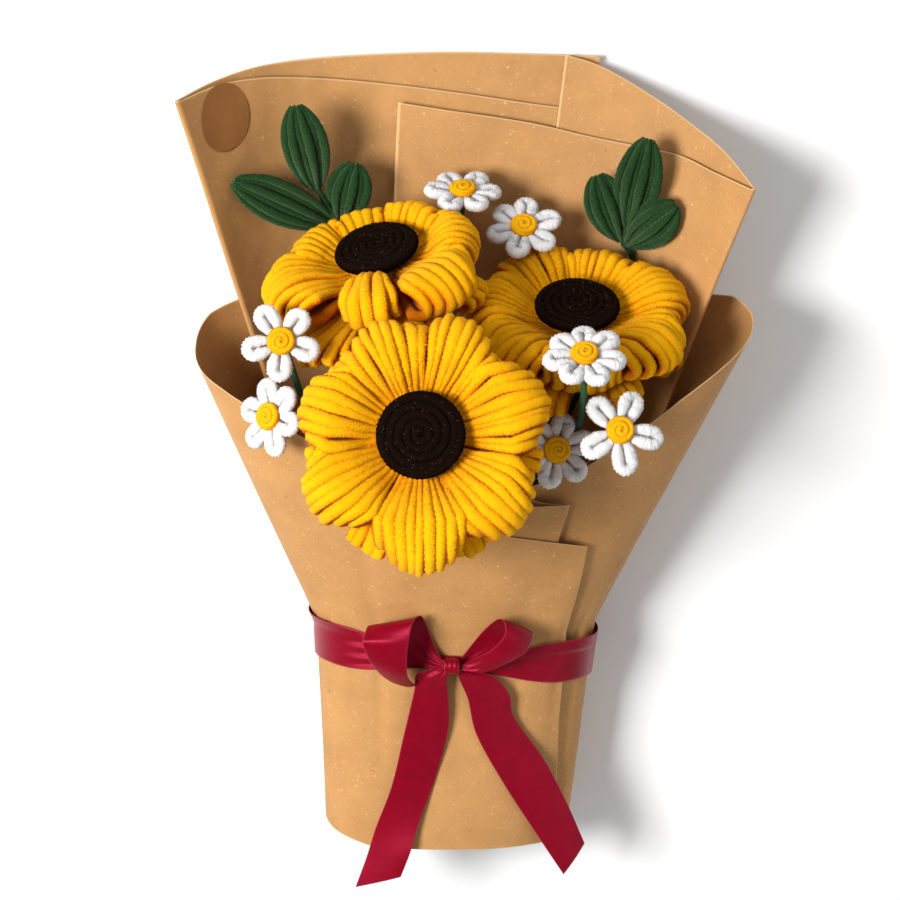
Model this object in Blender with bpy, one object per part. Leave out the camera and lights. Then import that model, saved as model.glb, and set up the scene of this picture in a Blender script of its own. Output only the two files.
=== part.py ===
# A hand-made bouquet of fuzzy craft-stem flowers in kraft paper, tied with a satin ribbon.
# It lies on its back. X is across, Y runs from the tie towards the flowers, Z is up.
# Design sizes are in millimetres. "up" is the distance from the tie towards the flowers.
import math

import bmesh
import bpy
from mathutils import Vector

MM = 0.001
BACK_REST_UP = 85.0  # the origin lies on the flat back, this far up from the tie

# Paper
PAPER = 0.8  # thicker than the real sheet, so that it makes a sound solid
WRAP_HALF_WIDTH = 79.5
WRAP_HALF_DEPTH = 38.0
WRAP_ROUNDNESS = 2.3
WRAP_STATIONS = (4, 21, 36, 50, 64, 79, 95, 110, 125, 140, 155, 170, 186, 204, 222, 248, 292, 316, 336, 352)
BEND_UP = 17.0
SLEEVE_TAPER = 0.0009
CONE_TAPER = 0.00535
WRAP_BOTTOM = -112.0
SLEEVE_RINGS = (-25.0, -13.0, 16.0, 34.0)
BAND_LIFT = 1.5  # the tie pinches the back of the paper up by this much

# The wrap is one sheet: its outer end (angle, head), then round the bouquet to the pleat.
WRAP_FREE_EDGE = ((WRAP_BOTTOM, 30.0), (-36.0, 39.0), (12.0, 41.0), (74.0, 51.0))  # (up, angle)
WRAP_HEADS = ((64, 78), (79, 83), (95, 104), (110, 122), (125, 139), (140, 154), (155, 165), (170, 172),
              (186, 181), (204, 193), (222, 200), (248, 198), (292, 198), (316, 201), (336, 203), (352, 197),
              (364, 190), (381, 177), (396, 160), (410, 139), (420, 123), (427, 117))
WRAP_FEET = ((64, WRAP_BOTTOM), (125, WRAP_BOTTOM), (155, -104.0), (170, -99.0), (186, -101.0), (222, WRAP_BOTTOM))
WRAP_DEPTHS = ((360, 0.0), (381, 1.6), (390, 3.2), (410, 4.6), (420, 7.5), (427, 11.0))  # (angle, depth)
# The pleat turns back under the outer end and then forward again, as (angle, depth, head).
WRAP_PLEAT = ((431, 12.6, 113), (435, 11.4, 110), (436, 9.2, 107), (434, 7.0, 104), (430, 5.2, 102),
              (424.5, 4.4, 101), (422.8, 3.9, 101), (422.3, 3.1, 101), (422.8, 2.3, 101), (424.5, 1.9, 101),
              (439, 1.9, 101), (448, 1.9, 101))

# The folded sheets behind the flowers follow one trough that narrows towards the tie.
TROUGH_APEX = -212.0
TROUGH_UP = 312.0
TROUGH_LEFT = (146.0, 62.0)  # half-width and rise at TROUGH_UP
TROUGH_RIGHT = (182.0, 72.0)
TROUGH_CURVE = 3.4
SHEET_FOOT = SLEEVE_RINGS[1]
FIRST_SHEET = 1.2  # the lowest back sheet's height over the trough
FOLD_GAP = 2.2  # from one layer of a folded sheet to the next
FOLD_REACH = 1.1
# Each layer's head from its free end to its fold, as (share of the trough, up).
LEFT_OUTER = ((0.44, 331), (0.25, 332), (0.0, 333), (-0.25, 332), (-0.5, 330), (-0.7, 327), (-0.86, 321), (-1.0, 313))
LEFT_INNER = ((0.40, 302), (0.25, 305), (0.0, 311.5), (-0.25, 316), (-0.5, 319.5), (-0.7, 321), (-0.86, 319),
              (-1.0, 313))
RIGHT_OUTER = ((0.34, 332), (0.45, 326), (0.62, 311), (0.76, 297), (0.88, 284), (1.0, 267))
RIGHT_INNER = ((-0.20, 306), (0.0, 301.5), (0.25, 295), (0.45, 288), (0.62, 283.5), (0.76, 280), (0.88, 273),
               (1.0, 267))
RIGHT_INNER_EDGE = ((150, -0.33), (306, -0.20))  # (up, share): the free edge slants

# Foam and stems
FOAM_FOOT, FOAM_HEAD = -106.0, -26.0
FOAM_SLACK = 1.4
FOAM_PLEAT_SLACK = 5.2  # deeper where the wrap's pleat begins
FOAM_CORNERS = (155, 170, 186, 204, 222, 248, 292, 316, 336, 352, 364, 381)
HOLE_SLACK = 0.35
HOLE_SIDES = 8
STEM_RINGS = 8
STEM_STRAIGHT = 16.0  # a stem comes straight out of its hole this far
STEM_BEND = 14.0
SUNFLOWER_STEM = dict(radius=3.0, sides=6, neck=14.0, below=37.0)
DAISY_STEM = dict(radius=1.8, sides=5, neck=8.0, below=5.3)
TWIN_STEM = dict(radius=1.05, sides=6, neck=8.0, below=5.3, apart=0.8)

# Ribbon
RIBBON_WIDTH = 25.0
RIBBON = 0.8
BAND_UP, BAND_SLOPE = 4.0, -0.05  # the band sits a little higher at the left
BAND_GAP = 0.4
TAIL_RINGS, LOOP_RINGS = 8, 10
KNOT = ((5.5, -4.6), (8.5, -2.6), (9.6, 0.5), (7.5, 3.6), (3.0, 4.8))  # (radius, height)
KNOT_MIDDLE = (1.0, 3.0, 84.0)
# The bow's parts by their two edges, from the knot outwards and, for a loop, back again.
BOW = {
    "left_tail": (((-8, 5, 84), (10, 2, 84)), ((-19, -11, 80.0), (-1, -8, 81.0)), ((-26, -40, 76.5), (-1, -36, 77.0)),
                  ((-33, -72, 72.5), (-8, -66, 73.2)), ((-42, -100, 70.5), (-18, -97, 71.5)),
                  ((-54, -134, 67.0), (-28, -126, 68.0))),
    "right_tail": (((-8, 2, 84), (8, 6, 84)), ((7, -13, 80.5), (24, -5, 80.5)), ((15, -40, 77.0), (36, -28, 76.5)),
                   ((31, -72, 73.0), (53, -57, 71.0)), ((50, -104, 70.0), (66, -84, 67.0)),
                   ((65, -129, 66.0), (77, -111, 63.0))),
    "left_loop": (((0, 12, 85), (-2, -6, 85)), ((-20, 22, 91), (-17, -8, 88)), ((-42, 30, 93), (-34, 2, 92)),
                  ((-51, 26, 84), (-46, 2, 82)), ((-38, 17, 77.6), (-36, -2, 77.6)), ((-18, 9, 79), (-18, -8, 79)),
                  ((-2, 8, 82.5), (-2, -6, 82.5))),
    "right_loop": (((0, 12, 84), (4, -5, 84)), ((22, 24, 92), (20, 1, 88)), ((38, 29, 91), (38, 6, 88)),
                   ((46, 20, 82), (44, 2, 79)), ((34, 12, 77.0), (34, -4, 77.2)), ((18, 9, 79), (18, -6, 79)),
                   ((2, 8, 82.5), (2, -6, 82.5))),
}

YELLOW = (1.0, 0.56, 0.01, 1)
BROWN = (0.025, 0.012, 0.008, 1)
WHITE = (0.86, 0.86, 0.88, 1)
EYE_YELLOW = (1.0, 0.42, 0.005, 1)
LEAF_GREEN = (0.012, 0.05, 0.018, 1)
STEM_GREEN = (0.02, 0.09, 0.03, 1)
KRAFT = (0.56, 0.35, 0.17, 1)
BURGUNDY = (0.2, 0.004, 0.02, 1)
FOAM_GREEN = (0.10, 0.22, 0.09, 1)

# Each sunflower: middle (x, up, z), the way it faces, and its petals as (angle, length, half angle).
SUNFLOWERS = {
    "front": dict(
        middle=(-15.0, 156.2, 168.0),
        faces=(0.0, 0.358, 0.934),
        petals=((69, 63, 19), (111, 61, 20), (162, 62, 23), (213, 65, 23), (270, 68, 24), (319, 66, 22), (17, 66, 24)),
        behind=((42, 58, 15), (89, 55, 15), (137, 58, 15), (187, 58, 15), (242, 65, 16), (296, 64, 15), (348, 61, 15)),
    ),
    "left": dict(
        middle=(-39.3, 236.2, 76.0),
        faces=(-0.204, 0.887, 0.413),
        petals=((6, 52, 22), (55, 43, 23), (103, 41, 22), (152, 50, 22), (203, 64, 23), (264, 52, 22), (317, 60, 23)),
        behind=((31, 43, 14), (79, 38, 14), (128, 42, 14), (177, 52, 15), (229, 68, 17), (288, 56, 16), (342, 56, 14)),
        via=((-33.0, 150.0, 45.0),),
    ),
    "right": dict(
        middle=(67.8, 206.0, 80.0),
        faces=(0.0, 0.891, 0.454),
        petals=((18, 61, 22), (70, 55, 21), (121, 59, 21), (172, 57, 22), (222, 60, 22), (272, 54, 22), (324, 60, 22)),
        behind=((44, 46, 14), (96, 45, 14), (146, 52, 14), (197, 54, 15), (247, 58, 15), (298, 58, 15), (351, 57, 14)),
        via=((54.0, 130.0, 50.0),),
    ),
}
DISC = dict(radius=23.0, foot=-3.5, head=2.2, rows=4, dome=1.5)
DISC_SIDES, HUB_SIDES = 13, 10
HUB = ((20.5, -4.2), (20.0, -20.0), (15.0, -34.0), (6.0, -36.0))  # (radius, height)
PETAL_ROOT, PETAL_RISE = 15.0, 26.0  # a petal starts hidden under the disc and comes up beyond its rim
PETAL_HALF_WIDTH = 23.0
TIP_ROUNDING = 0.17
ROW_RELIEF = 1.4  # how far every other chenille row stands out
# A petal's line beyond the disc, as (share of the way to its rim, height against the flower's face),
# with its heights at the root and the rise, above and then below.
FRONT_PETAL = dict(
    profile=((0.30, -1.4), (0.60, 1.6), (0.87, -1.6), (1.0, -8.5), (0.93, -14.5), (0.62, -17.2)),
    roots=(-9.5, -7.0, -16.6, -14.0), ridges=3, crown=2.6, thick=3.8, rings=8)
BACK_PETAL = dict(
    profile=((0.50, -23.8), (0.80, -24.6), (1.0, -28.5), (0.84, -32.0)),
    roots=(-22.0, -23.6, -32.5, -30.0), ridges=1, crown=1.6, thick=3.0, rings=6)

# Each daisy: middle, the way it faces, how many petals and the turn of the first one.
DAISIES = {
    1: dict(middle=(-87.6, 194.7, 122.0), faces=(0.0, 0.24, 0.97), petals=5, turn=53),
    2: dict(middle=(-94.5, 154.6, 123.0), faces=(-0.58, 0.28, 0.76), petals=6, turn=98,
            via=((-86.0, 150.5, 102.0), (-80.0, 118.0, 68.0))),
    3: dict(middle=(7.1, 261.4, 37.0), faces=(0.0, 0.90, 0.43), petals=6, turn=60, twin=True,
            via=((4.5, 226.0, 17.5), (1.0, 140.0, 15.5))),
    4: dict(middle=(40.3, 242.2, 42.0), faces=(0.0, 0.75, 0.66), petals=6, turn=80,
            via=((37.0, 229.0, 22.0), (32.0, 205.0, 14.0), (22.0, 120.0, 15.5))),
    5: dict(middle=(69.0, 191.8, 142.0), faces=(0.0, 0.80, 0.60), petals=7, turn=90,
            via=((69.0, 177.0, 137.5), (69.0, 161.0, 128.0), (67.5, 142.0, 98.0), (56.0, 95.0, 63.0))),
    6: dict(middle=(88.0, 151.2, 140.0), faces=(0.12, 0.40, 0.91), petals=5, turn=64,
            via=((82.0, 132.0, 98.0), (70.0, 90.0, 66.0))),
    7: dict(middle=(56.7, 133.3, 110.0), faces=(0.20, 0.30, 0.93), petals=6, turn=75,
            via=((44.0, 95.0, 70.0),)),
}
DAISY_RADIUS = 23.0
# A petal's strand goes out and comes back, as (distance from the middle, sideways).
DAISY_LOOP = ((6.9, -1.6), (14.0, -3.2), (20.2, -2.4), (20.2, 2.4), (14.0, 3.2), (6.9, 1.6))
DAISY_SINK = 2.6  # the petals lie this far below the eye's foot
STRAND_ROOT, STRAND_TIP, STRAND_FLAT = 1.25, 2.7, 0.75
HEART = ((8.0, -0.7), (8.0, -3.6), (3.2, -4.6))
EYE = dict(radius=7.5, foot=-0.2, head=2.2, rows=2, dome=0.8)
EYE_SIDES = 8

# Each leaf: the base and tip of the blade, and the way its face looks.
LEAF_SPRAYS = {
    "left": dict(
        via=((-62.0, 222.0, 17.0), (-54.0, 110.0, 17.5)),
        leaves=(((-63.0, 244.0, 27.0), (-82.0, 308.0, 46.0), (0.1, -0.1, 1.0)),
                ((-64.0, 240.0, 26.0), (-117.0, 268.0, 50.0), (0.3, -0.2, 0.9)),
                ((-60.0, 242.0, 25.0), (-52.0, 275.0, 33.0), (0.0, -0.2, 1.0))),
    ),
    "right": dict(
        via=((101.0, 222.0, 28.0), (96.5, 204.0, 26.9), (83.0, 170.0, 25.3), (66.0, 130.0, 21.0), (52.0, 90.0, 18.0)),
        leaves=(((97.0, 240.0, 33.0), (107.0, 290.0, 45.0), (-0.1, -0.1, 1.0)),
                ((94.0, 232.0, 29.0), (80.0, 269.0, 36.0), (0.0, -0.2, 1.0)),
                ((97.0, 230.0, 30.0), (122.5, 254.0, 46.0), (-0.3, -0.2, 0.9))),
    ),
}
LEAF_HALF_WIDTH = 12.5
LEAF_ROWS, LEAF_RINGS = 6, 7
LEAF_ARCH = 3.0
LEAF_RELIEF = 0.9

# Where each stem stands in the foam's head, as (x, z), and how deep.
HOLES = {
    "sunflower_front": (-6.0, 38.0), "sunflower_left": (-28.0, 26.0), "sunflower_right": (26.0, 27.0),
    "daisy_1": (-38.0, 39.0), "daisy_2": (-50.0, 36.0), "daisy_3": (-4.0, 17.0), "daisy_4": (12.0, 17.0),
    "daisy_5": (38.0, 39.0), "daisy_6": (50.0, 35.0), "daisy_7": (25.0, 40.0),
    "leaf_left": (-42.0, 20.0), "leaf_right": (44.0, 20.0),
}
HOLE_DEPTH = 45.0
HOLE_FLOOR_GAP = 0.5


def place(point):
    """A design point (x, up, z) in millimetres as a place in the scene, in metres."""
    x, up, z = point
    return Vector((x * MM, (up - BACK_REST_UP) * MM, z * MM))


def between(table, at):
    """Reads a table of (position, value) pairs with straight lines between them."""
    if at <= table[0][0]:
        return table[0][1]
    for (a, low), (b, high) in zip(table, table[1:]):
        if at <= b:
            return low + (high - low) * (at - a) / (b - a)
    return table[-1][1]


def smooth_line(points, count):
    """Points spaced evenly along a Catmull-Rom curve through the given points."""
    points = [Vector(p) for p in points]
    ends = [points[0] * 2 - points[1]] + points + [points[-1] * 2 - points[-2]]
    fine = []
    for a, b, c, d in zip(ends, ends[1:], ends[2:], ends[3:]):
        for step in range(12):
            t = step / 12
            fine.append(0.5 * (2 * b + (c - a) * t + (2 * a - 5 * b + 4 * c - d) * t * t
                               + (3 * b - 3 * c + d - a) * t ** 3))
    fine.append(points[-1])
    along = [0.0]
    for a, b in zip(fine, fine[1:]):
        along.append(along[-1] + (b - a).length)
    picked = []
    for i in range(count):
        want = along[-1] * i / (count - 1)
        k = next((k for k in range(1, len(along)) if along[k] >= want - 1e-9), len(along) - 1)
        share = (want - along[k - 1]) / (along[k] - along[k - 1])
        picked.append(fine[k - 1].lerp(fine[k], share))
    return picked


def material(name, colour, roughness):
    made = bpy.data.materials.new(name)
    made.use_nodes = True
    shader = made.node_tree.nodes["Principled BSDF"]
    shader.inputs["Base Color"].default_value = colour
    shader.inputs["Roughness"].default_value = roughness
    made.diffuse_color = colour
    return made


def add_object(name, mesh, finish=None):
    made = bpy.data.objects.new(name, mesh)
    bpy.context.scene.collection.objects.link(made)
    if finish:
        mesh.materials.append(finish)
    return made


def mesh_of(name, points, faces, smooth=False):
    """A mesh from design points and faces, its faces turned outwards and split into triangles."""
    mesh = bpy.data.meshes.new(name)
    mesh.from_pydata([place(p) for p in points], [], faces)
    work = bmesh.new()
    work.from_mesh(mesh)
    bmesh.ops.recalc_face_normals(work, faces=work.faces)
    bmesh.ops.triangulate(work, faces=work.faces)
    if work.calc_volume(signed=True) < 0:
        bmesh.ops.reverse_faces(work, faces=work.faces)
    work.to_mesh(mesh)
    work.free()
    if smooth:
        mesh.shade_smooth()
    return mesh


def tube_faces(rings, size):
    """Quads between rings of equal size, with a face on each end."""
    faces = []
    for i in range(rings - 1):
        for j in range(size):
            k = (j + 1) % size
            faces.append((i * size + j, i * size + k, (i + 1) * size + k, (i + 1) * size + j))
    faces.append(tuple(range(size)))
    faces.append(tuple((rings - 1) * size + j for j in range(size)))
    return faces


def rounded(value):
    return math.copysign(abs(value) ** (2 / WRAP_ROUNDNESS), value)


def wrap_unit(angle):
    """The wrap's outline at an angle, one unit to each side and two high, flat at its back."""
    lowest = 1 + rounded(math.sin(math.radians(248)))
    height = 1 + rounded(math.sin(math.radians(angle)))
    return Vector((rounded(math.cos(math.radians(angle))), max(0.0, height - lowest) * 2 / (2 - lowest)))


def waist_outline():
    """The outline's corners at the bend and the inward step that moves every side in by one."""
    corners = [wrap_unit(a) for a in WRAP_STATIONS]
    corners = [Vector((c.x * WRAP_HALF_WIDTH, c.y * WRAP_HALF_DEPTH)) for c in corners]
    steps = []
    for i, corner in enumerate(corners):
        before = (corner - corners[i - 1]).normalized()
        after = (corners[(i + 1) % len(corners)] - corner).normalized()
        first, second = Vector((-before.y, before.x)), Vector((-after.y, after.x))
        steps.append((first + second) / (1 + first.dot(second)))
    return corners, steps


OUTLINE, INWARD = waist_outline()


def on_outline(angle):
    """The outline's point and inward step at any angle, straight between the corners."""
    count = len(WRAP_STATIONS)
    angle = (angle - WRAP_STATIONS[0]) % 360 + WRAP_STATIONS[0]
    i = max(k for k in range(count) if WRAP_STATIONS[k] <= angle)
    nxt = WRAP_STATIONS[i + 1] if i + 1 < count else WRAP_STATIONS[0] + 360
    share = (angle - WRAP_STATIONS[i]) / (nxt - WRAP_STATIONS[i])
    j = (i + 1) % count
    return OUTLINE[i].lerp(OUTLINE[j], share), INWARD[i].lerp(INWARD[j], share)


def lift(up):
    """How far the tie raises the paper off the surface."""
    return between(tuple(zip(SLEEVE_RINGS, (0.0, BAND_LIFT, BAND_LIFT, 0.0))), up)


def wrap_point(angle, up, depth):
    """A point of the wrap at an angle round it and a depth in from its outer face."""
    point, step = on_outline(angle)
    if up > BEND_UP:
        grow, middle = 1 + (up - BEND_UP) * CONE_TAPER, 3.5 + (up - BEND_UP) * 0.035
    else:
        grow, middle = 1 - (BEND_UP - up) * SLEEVE_TAPER, 3.5 - (BEND_UP - up) * 0.045
    return (middle + point.x * grow + step.x * depth, up, point.y * grow + step.y * depth + lift(up))


def trough_point(share, up, height):
    """A point over the trough: share is -1 at the left fold and 1 at the right one."""
    grow = (up - TROUGH_APEX) / (TROUGH_UP - TROUGH_APEX)
    half, rise = TROUGH_LEFT if share < 0 else TROUGH_RIGHT
    slope = math.copysign(TROUGH_CURVE * rise / half * abs(share) ** (TROUGH_CURVE - 1), share)
    step = Vector((-slope, 1.0)).normalized()
    return (half * share * grow + step.x * height, up,
            rise * abs(share) ** TROUGH_CURVE * grow + step.y * height + lift(up))


def sheet(name, columns, finish):
    """A sheet of paper, its two faces split alike: each column gives both faces' points from foot to head."""
    rings = len(columns[0][0])
    points, faces = [], []
    for lower, upper in columns:
        points += lower + upper
    size = 2 * rings

    def at(column, ring, face):
        return column * size + face * rings + ring

    for c in range(len(columns) - 1):
        for r in range(rings - 1):
            for face in (0, 1):
                near, far = at(c, r, face), at(c + 1, r + 1, face)
                faces += [(near, at(c + 1, r, face), far), (near, far, at(c, r + 1, face))]
        for r in (0, rings - 1):
            faces.append((at(c, r, 0), at(c, r, 1), at(c + 1, r, 1), at(c + 1, r, 0)))
    for c in (0, len(columns) - 1):
        for r in range(rings - 1):
            faces.append((at(c, r, 0), at(c, r + 1, 0), at(c, r + 1, 1), at(c, r, 1)))
    return add_object(name, mesh_of(name, points, faces), finish)


def rings_up_to(foot, head):
    return [foot] + [r for r in SLEEVE_RINGS if foot < r < head] + [head]


def outer_wrap(finish):
    """One sheet in a spiral: free edge, front left, back, front right, and a pleat under its start."""
    columns = []

    def column(angle_at, depth, foot, head):
        ring_list = rings_up_to(foot, head)
        columns.append([[wrap_point(angle_at(up), up, depth + extra) for up in ring_list] for extra in (0.0, PAPER)])

    start, start_head = WRAP_HEADS[0]
    for share in (1.0, 0.5):
        column(lambda up: start + (between(WRAP_FREE_EDGE, up) - start) * share, 0.0, WRAP_BOTTOM,
               start_head + (WRAP_FREE_EDGE[-1][0] - start_head) * share)
    for angle, head in WRAP_HEADS:
        column(lambda up: angle, between(WRAP_DEPTHS, angle), between(WRAP_FEET, angle), head)
    for angle, depth, head in WRAP_PLEAT:
        column(lambda up: angle, depth, WRAP_BOTTOM, head)
    return sheet("outer_wrap", columns, finish)


def back_sheet(name, outer, inner, level, edge, finish):
    """A sheet folded double: outer and inner are (share, head) from the free end to the fold."""
    columns = []

    def column(share_at, heights, head):
        ring_list = rings_up_to(SHEET_FOOT, head)
        columns.append([[trough_point(share_at(up), up, height) for up in ring_list] for height in heights])

    for share, head in outer:
        column(lambda up: share, (level, level + PAPER), head)
    fold_share, fold_head = outer[-1]
    side = math.copysign(1.0, fold_share)
    half = TROUGH_LEFT[0] if side < 0 else TROUGH_RIGHT[0]
    for turn in (-60, -20, 20, 60):
        out, rise = math.cos(math.radians(turn)), math.sin(math.radians(turn))
        faces = []
        for extra in (PAPER / 2, -PAPER / 2):
            share = fold_share + side * (FOLD_REACH + extra) * out / half
            height = level + (FOLD_GAP + PAPER) / 2 + (FOLD_GAP / 2 + extra) * rise
            faces.append([trough_point(share, up, height) for up in rings_up_to(SHEET_FOOT, fold_head)])
        columns.append(faces)
    for k, (share, head) in enumerate(reversed(inner)):
        slanted = edge and k == len(inner) - 1
        column((lambda up: between(edge, up)) if slanted else (lambda up: share),
               (level + FOLD_GAP + PAPER, level + FOLD_GAP), head)
    return sheet(name, columns, finish)


def apply_boolean(body, operation, meshes, solver):
    """Joins meshes to a body, or cuts them from it, through a collection that is then removed."""
    group = bpy.data.collections.new(body.name + "_pieces")
    bpy.context.scene.collection.children.link(group)
    for mesh in meshes:
        group.objects.link(bpy.data.objects.new(body.name + "_piece", mesh))
    change = body.modifiers.new("Change", "BOOLEAN")
    change.operation = operation
    change.operand_type = "COLLECTION"
    change.collection = group
    change.solver = solver
    graph = bpy.context.evaluated_depsgraph_get()
    body.data = bpy.data.meshes.new_from_object(body.evaluated_get(graph))
    body.modifiers.clear()
    for piece in list(group.objects):
        bpy.data.objects.remove(piece)
    bpy.data.collections.remove(group)


def fuse(name, meshes, finish):
    """One solid from many meshes that run into each other."""
    body = add_object(name, meshes[0])
    apply_boolean(body, "UNION", meshes[1:], "MANIFOLD")
    body.data.materials.clear()
    body.data.materials.append(finish)


def foam_block(finish):
    """The block in the sleeve, with a plain hole for each stem."""
    section = []
    for angle in FOAM_CORNERS:
        slack = FOAM_PLEAT_SLACK if angle == FOAM_CORNERS[-1] else FOAM_SLACK
        x, _, z = wrap_point(angle, FOAM_FOOT, slack)
        section.append((x, z))
    points = [(x, up, z) for up in (FOAM_FOOT, FOAM_HEAD) for x, z in section]
    block = add_object("foam_block", mesh_of("foam_block", points, tube_faces(2, len(section))), finish)
    turns = [2 * math.pi * k / HOLE_SIDES for k in range(HOLE_SIDES)]
    holes = []
    for name, (x, z) in HOLES.items():
        stem = SUNFLOWER_STEM if name.startswith("sunflower") else DAISY_STEM
        radius = (stem["radius"] + HOLE_SLACK) / math.cos(math.pi / HOLE_SIDES)
        points = [(x + radius * math.cos(turn), up, z + radius * math.sin(turn))
                  for up in (FOAM_HEAD - HOLE_DEPTH, FOAM_HEAD + 1) for turn in turns]
        holes.append(mesh_of("hole", points, tube_faces(2, HOLE_SIDES)))
    apply_boolean(block, "DIFFERENCE", holes, "EXACT")


def tube(name, route, radius, sides):
    """A round stem along a route, with its ring kept square to the route."""
    points = []
    for i, here in enumerate(route):
        way = (route[min(i + 1, len(route) - 1)] - route[max(i - 1, 0)]).normalized()
        side = way.cross(Vector((0.3, 0.1, 1.0))).normalized()
        other = way.cross(side)
        for k in range(sides):
            turn = 2 * math.pi * k / sides
            points.append(here + radius * (math.cos(turn) * side + math.sin(turn) * other))
    return mesh_of(name, points, tube_faces(len(route), sides), smooth=True)


def stem_route(name, bends, shift=0.0):
    """Down from a flower or spray through its bends and straight into its hole in the foam."""
    x, z = HOLES[name]
    mouth = Vector((x + shift, FOAM_HEAD + STEM_STRAIGHT, z))
    line = smooth_line([*bends, mouth + Vector((0, STEM_BEND, 0)), mouth], STEM_RINGS)
    return line + [Vector((x + shift, FOAM_HEAD - HOLE_DEPTH + HOLE_FLOOR_GAP, z))]


def flower_stem(name, middle, out, plan, size, shift=0.0):
    start = middle - out * size["below"]
    bends = [start, start - out * size["neck"], *plan.get("via", ())]
    return tube(name, stem_route(name, bends, shift), size["radius"], size["sides"])


def flower_axes(faces):
    """The flower's right, up and facing directions."""
    out = Vector(faces).normalized()
    right = (Vector((1, 0, 0)) - out * out.x).normalized()
    return right, out.cross(right), out


def petal(name, middle, axes, spoke, form):
    """A fan of chenille rows that loops out over the top, round the rim and back underneath."""
    right, up, out = axes
    angle, length, half_angle = spoke
    turn = math.radians(angle)
    ray = math.cos(turn) * right + math.sin(turn) * up
    side = out.cross(ray)
    roots, rings, thick = form["roots"], form["rings"], form["thick"]
    beyond = [(PETAL_RISE + share * (length - PETAL_RISE), z, 0) for share, z in form["profile"]]
    line = smooth_line([(PETAL_ROOT, roots[0], 0), (PETAL_RISE, roots[1], 0), *beyond,
                        (PETAL_RISE, roots[2], 0), (PETAL_ROOT, roots[3], 0)], rings)
    rows = [k / form["ridges"] - 1 for k in range(2 * form["ridges"] + 1)]
    points = []
    for i, here in enumerate(line):
        way = (line[min(i + 1, rings - 1)] - line[max(i - 1, 0)]).normalized()
        width = min(here.x * math.tan(math.radians(half_angle)), PETAL_HALF_WIDTH)
        drawn_in = TIP_ROUNDING * max(0.0, here.x - PETAL_RISE)

        def point(t, step):
            r = here.x - way.y * step - drawn_in * t * t
            return middle + ray * r + side * width * t + out * (here.y + way.x * step)

        for k, t in enumerate(rows):
            points.append(point(t, thick / 2 - form["crown"] * t * t + (ROW_RELIEF if k % 2 else 0.0)))
        points += [point(t, -thick / 2 - form["crown"] * t * t) for t in (0.96, 0.0, -0.96)]
    return mesh_of(name, points, tube_faces(rings, len(rows) + 3), smooth=True)


def turned(name, middle, axes, profile, sides):
    """A solid turned round the flower's own axis from (radius, height) pairs."""
    right, up, out = axes
    points = []
    for radius, height in profile:
        for k in range(sides):
            turn = 2 * math.pi * k / sides
            points.append(middle + (right * math.cos(turn) + up * math.sin(turn)) * radius + out * height)
    return mesh_of(name, points, tube_faces(len(profile), sides), smooth=True)


def coil_profile(radius, foot, head, rows, dome):
    """A coiled disc's outline: a rim, then one low ridge for each turn of the coil."""
    profile = [(radius * 0.90, foot), (radius, foot + (head - foot) * 0.55)]
    for k in range(rows):
        middle = radius * (1 - (k + 0.5) / rows)
        groove = radius * (1 - (k + 1) / rows)
        rise = dome * (1 - (middle / radius) ** 2)
        profile.append((middle, head + rise))
        if k < rows - 1:
            profile.append((groove, head + rise - 1.0))
    return profile


def sunflower(key, plan, yellow, brown, green):
    axes = flower_axes(plan["faces"])
    middle = Vector(plan["middle"])
    name = "sunflower_" + key
    meshes = [turned(name, middle, axes, HUB, HUB_SIDES)]
    meshes += [petal(name, middle, axes, spoke, FRONT_PETAL) for spoke in plan["petals"]]
    meshes += [petal(name, middle, axes, spoke, BACK_PETAL) for spoke in plan["behind"]]
    fuse(name + "_petals", meshes, yellow)
    add_object(name + "_disc", turned(name + "_disc", middle, axes, coil_profile(**DISC), DISC_SIDES), brown)
    add_object(name + "_stem", flower_stem(name, middle, axes[2], plan, SUNFLOWER_STEM), green)


def daisy(number, plan, white, yellow, green):
    axes = flower_axes(plan["faces"])
    right, up, out = axes
    middle = Vector(plan["middle"])
    name = "daisy_%d" % number
    meshes = [turned(name, middle, axes, HEART, EYE_SIDES)]
    root = DAISY_LOOP[0][0]
    for k in range(plan["petals"]):
        turn = math.radians(plan["turn"] + 360 * k / plan["petals"])
        ray = math.cos(turn) * right + math.sin(turn) * up
        side = out.cross(ray)
        shares = [(x - root) / (DAISY_RADIUS - root) for x, _ in DAISY_LOOP]
        loop = [middle + ray * x + side * y + out * (math.sin(math.pi * share) - DAISY_SINK)
                for (x, y), share in zip(DAISY_LOOP, shares)]
        widths = [STRAND_ROOT + (STRAND_TIP - STRAND_ROOT) * min(1.0, 2.5 * share) for share in shares]
        meshes.append(flat_loop(name, loop, out, widths))
    fuse(name + "_petals", meshes, white)
    add_object(name + "_eye", turned(name + "_eye", middle, axes, coil_profile(**EYE), EYE_SIDES), yellow)
    if plan.get("twin"):
        pair = [flower_stem(name, middle, out, plan, TWIN_STEM, side * TWIN_STEM["apart"]) for side in (-1, 1)]
        fuse(name + "_stem", pair, green)
    else:
        add_object(name + "_stem", flower_stem(name, middle, out, plan, DAISY_STEM), green)


def flat_loop(name, line, out, widths):
    """A looped strand with a four-sided section that stays flat to the flower."""
    points = []
    for i, here in enumerate(line):
        way = (line[min(i + 1, len(line) - 1)] - line[max(i - 1, 0)]).normalized()
        side = way.cross(out).normalized()
        wide, high = side * widths[i], out * widths[i] * STRAND_FLAT
        points += [here + wide, here + high, here - wide, here - high]
    return mesh_of(name, points, tube_faces(len(line), 4), smooth=True)


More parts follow.
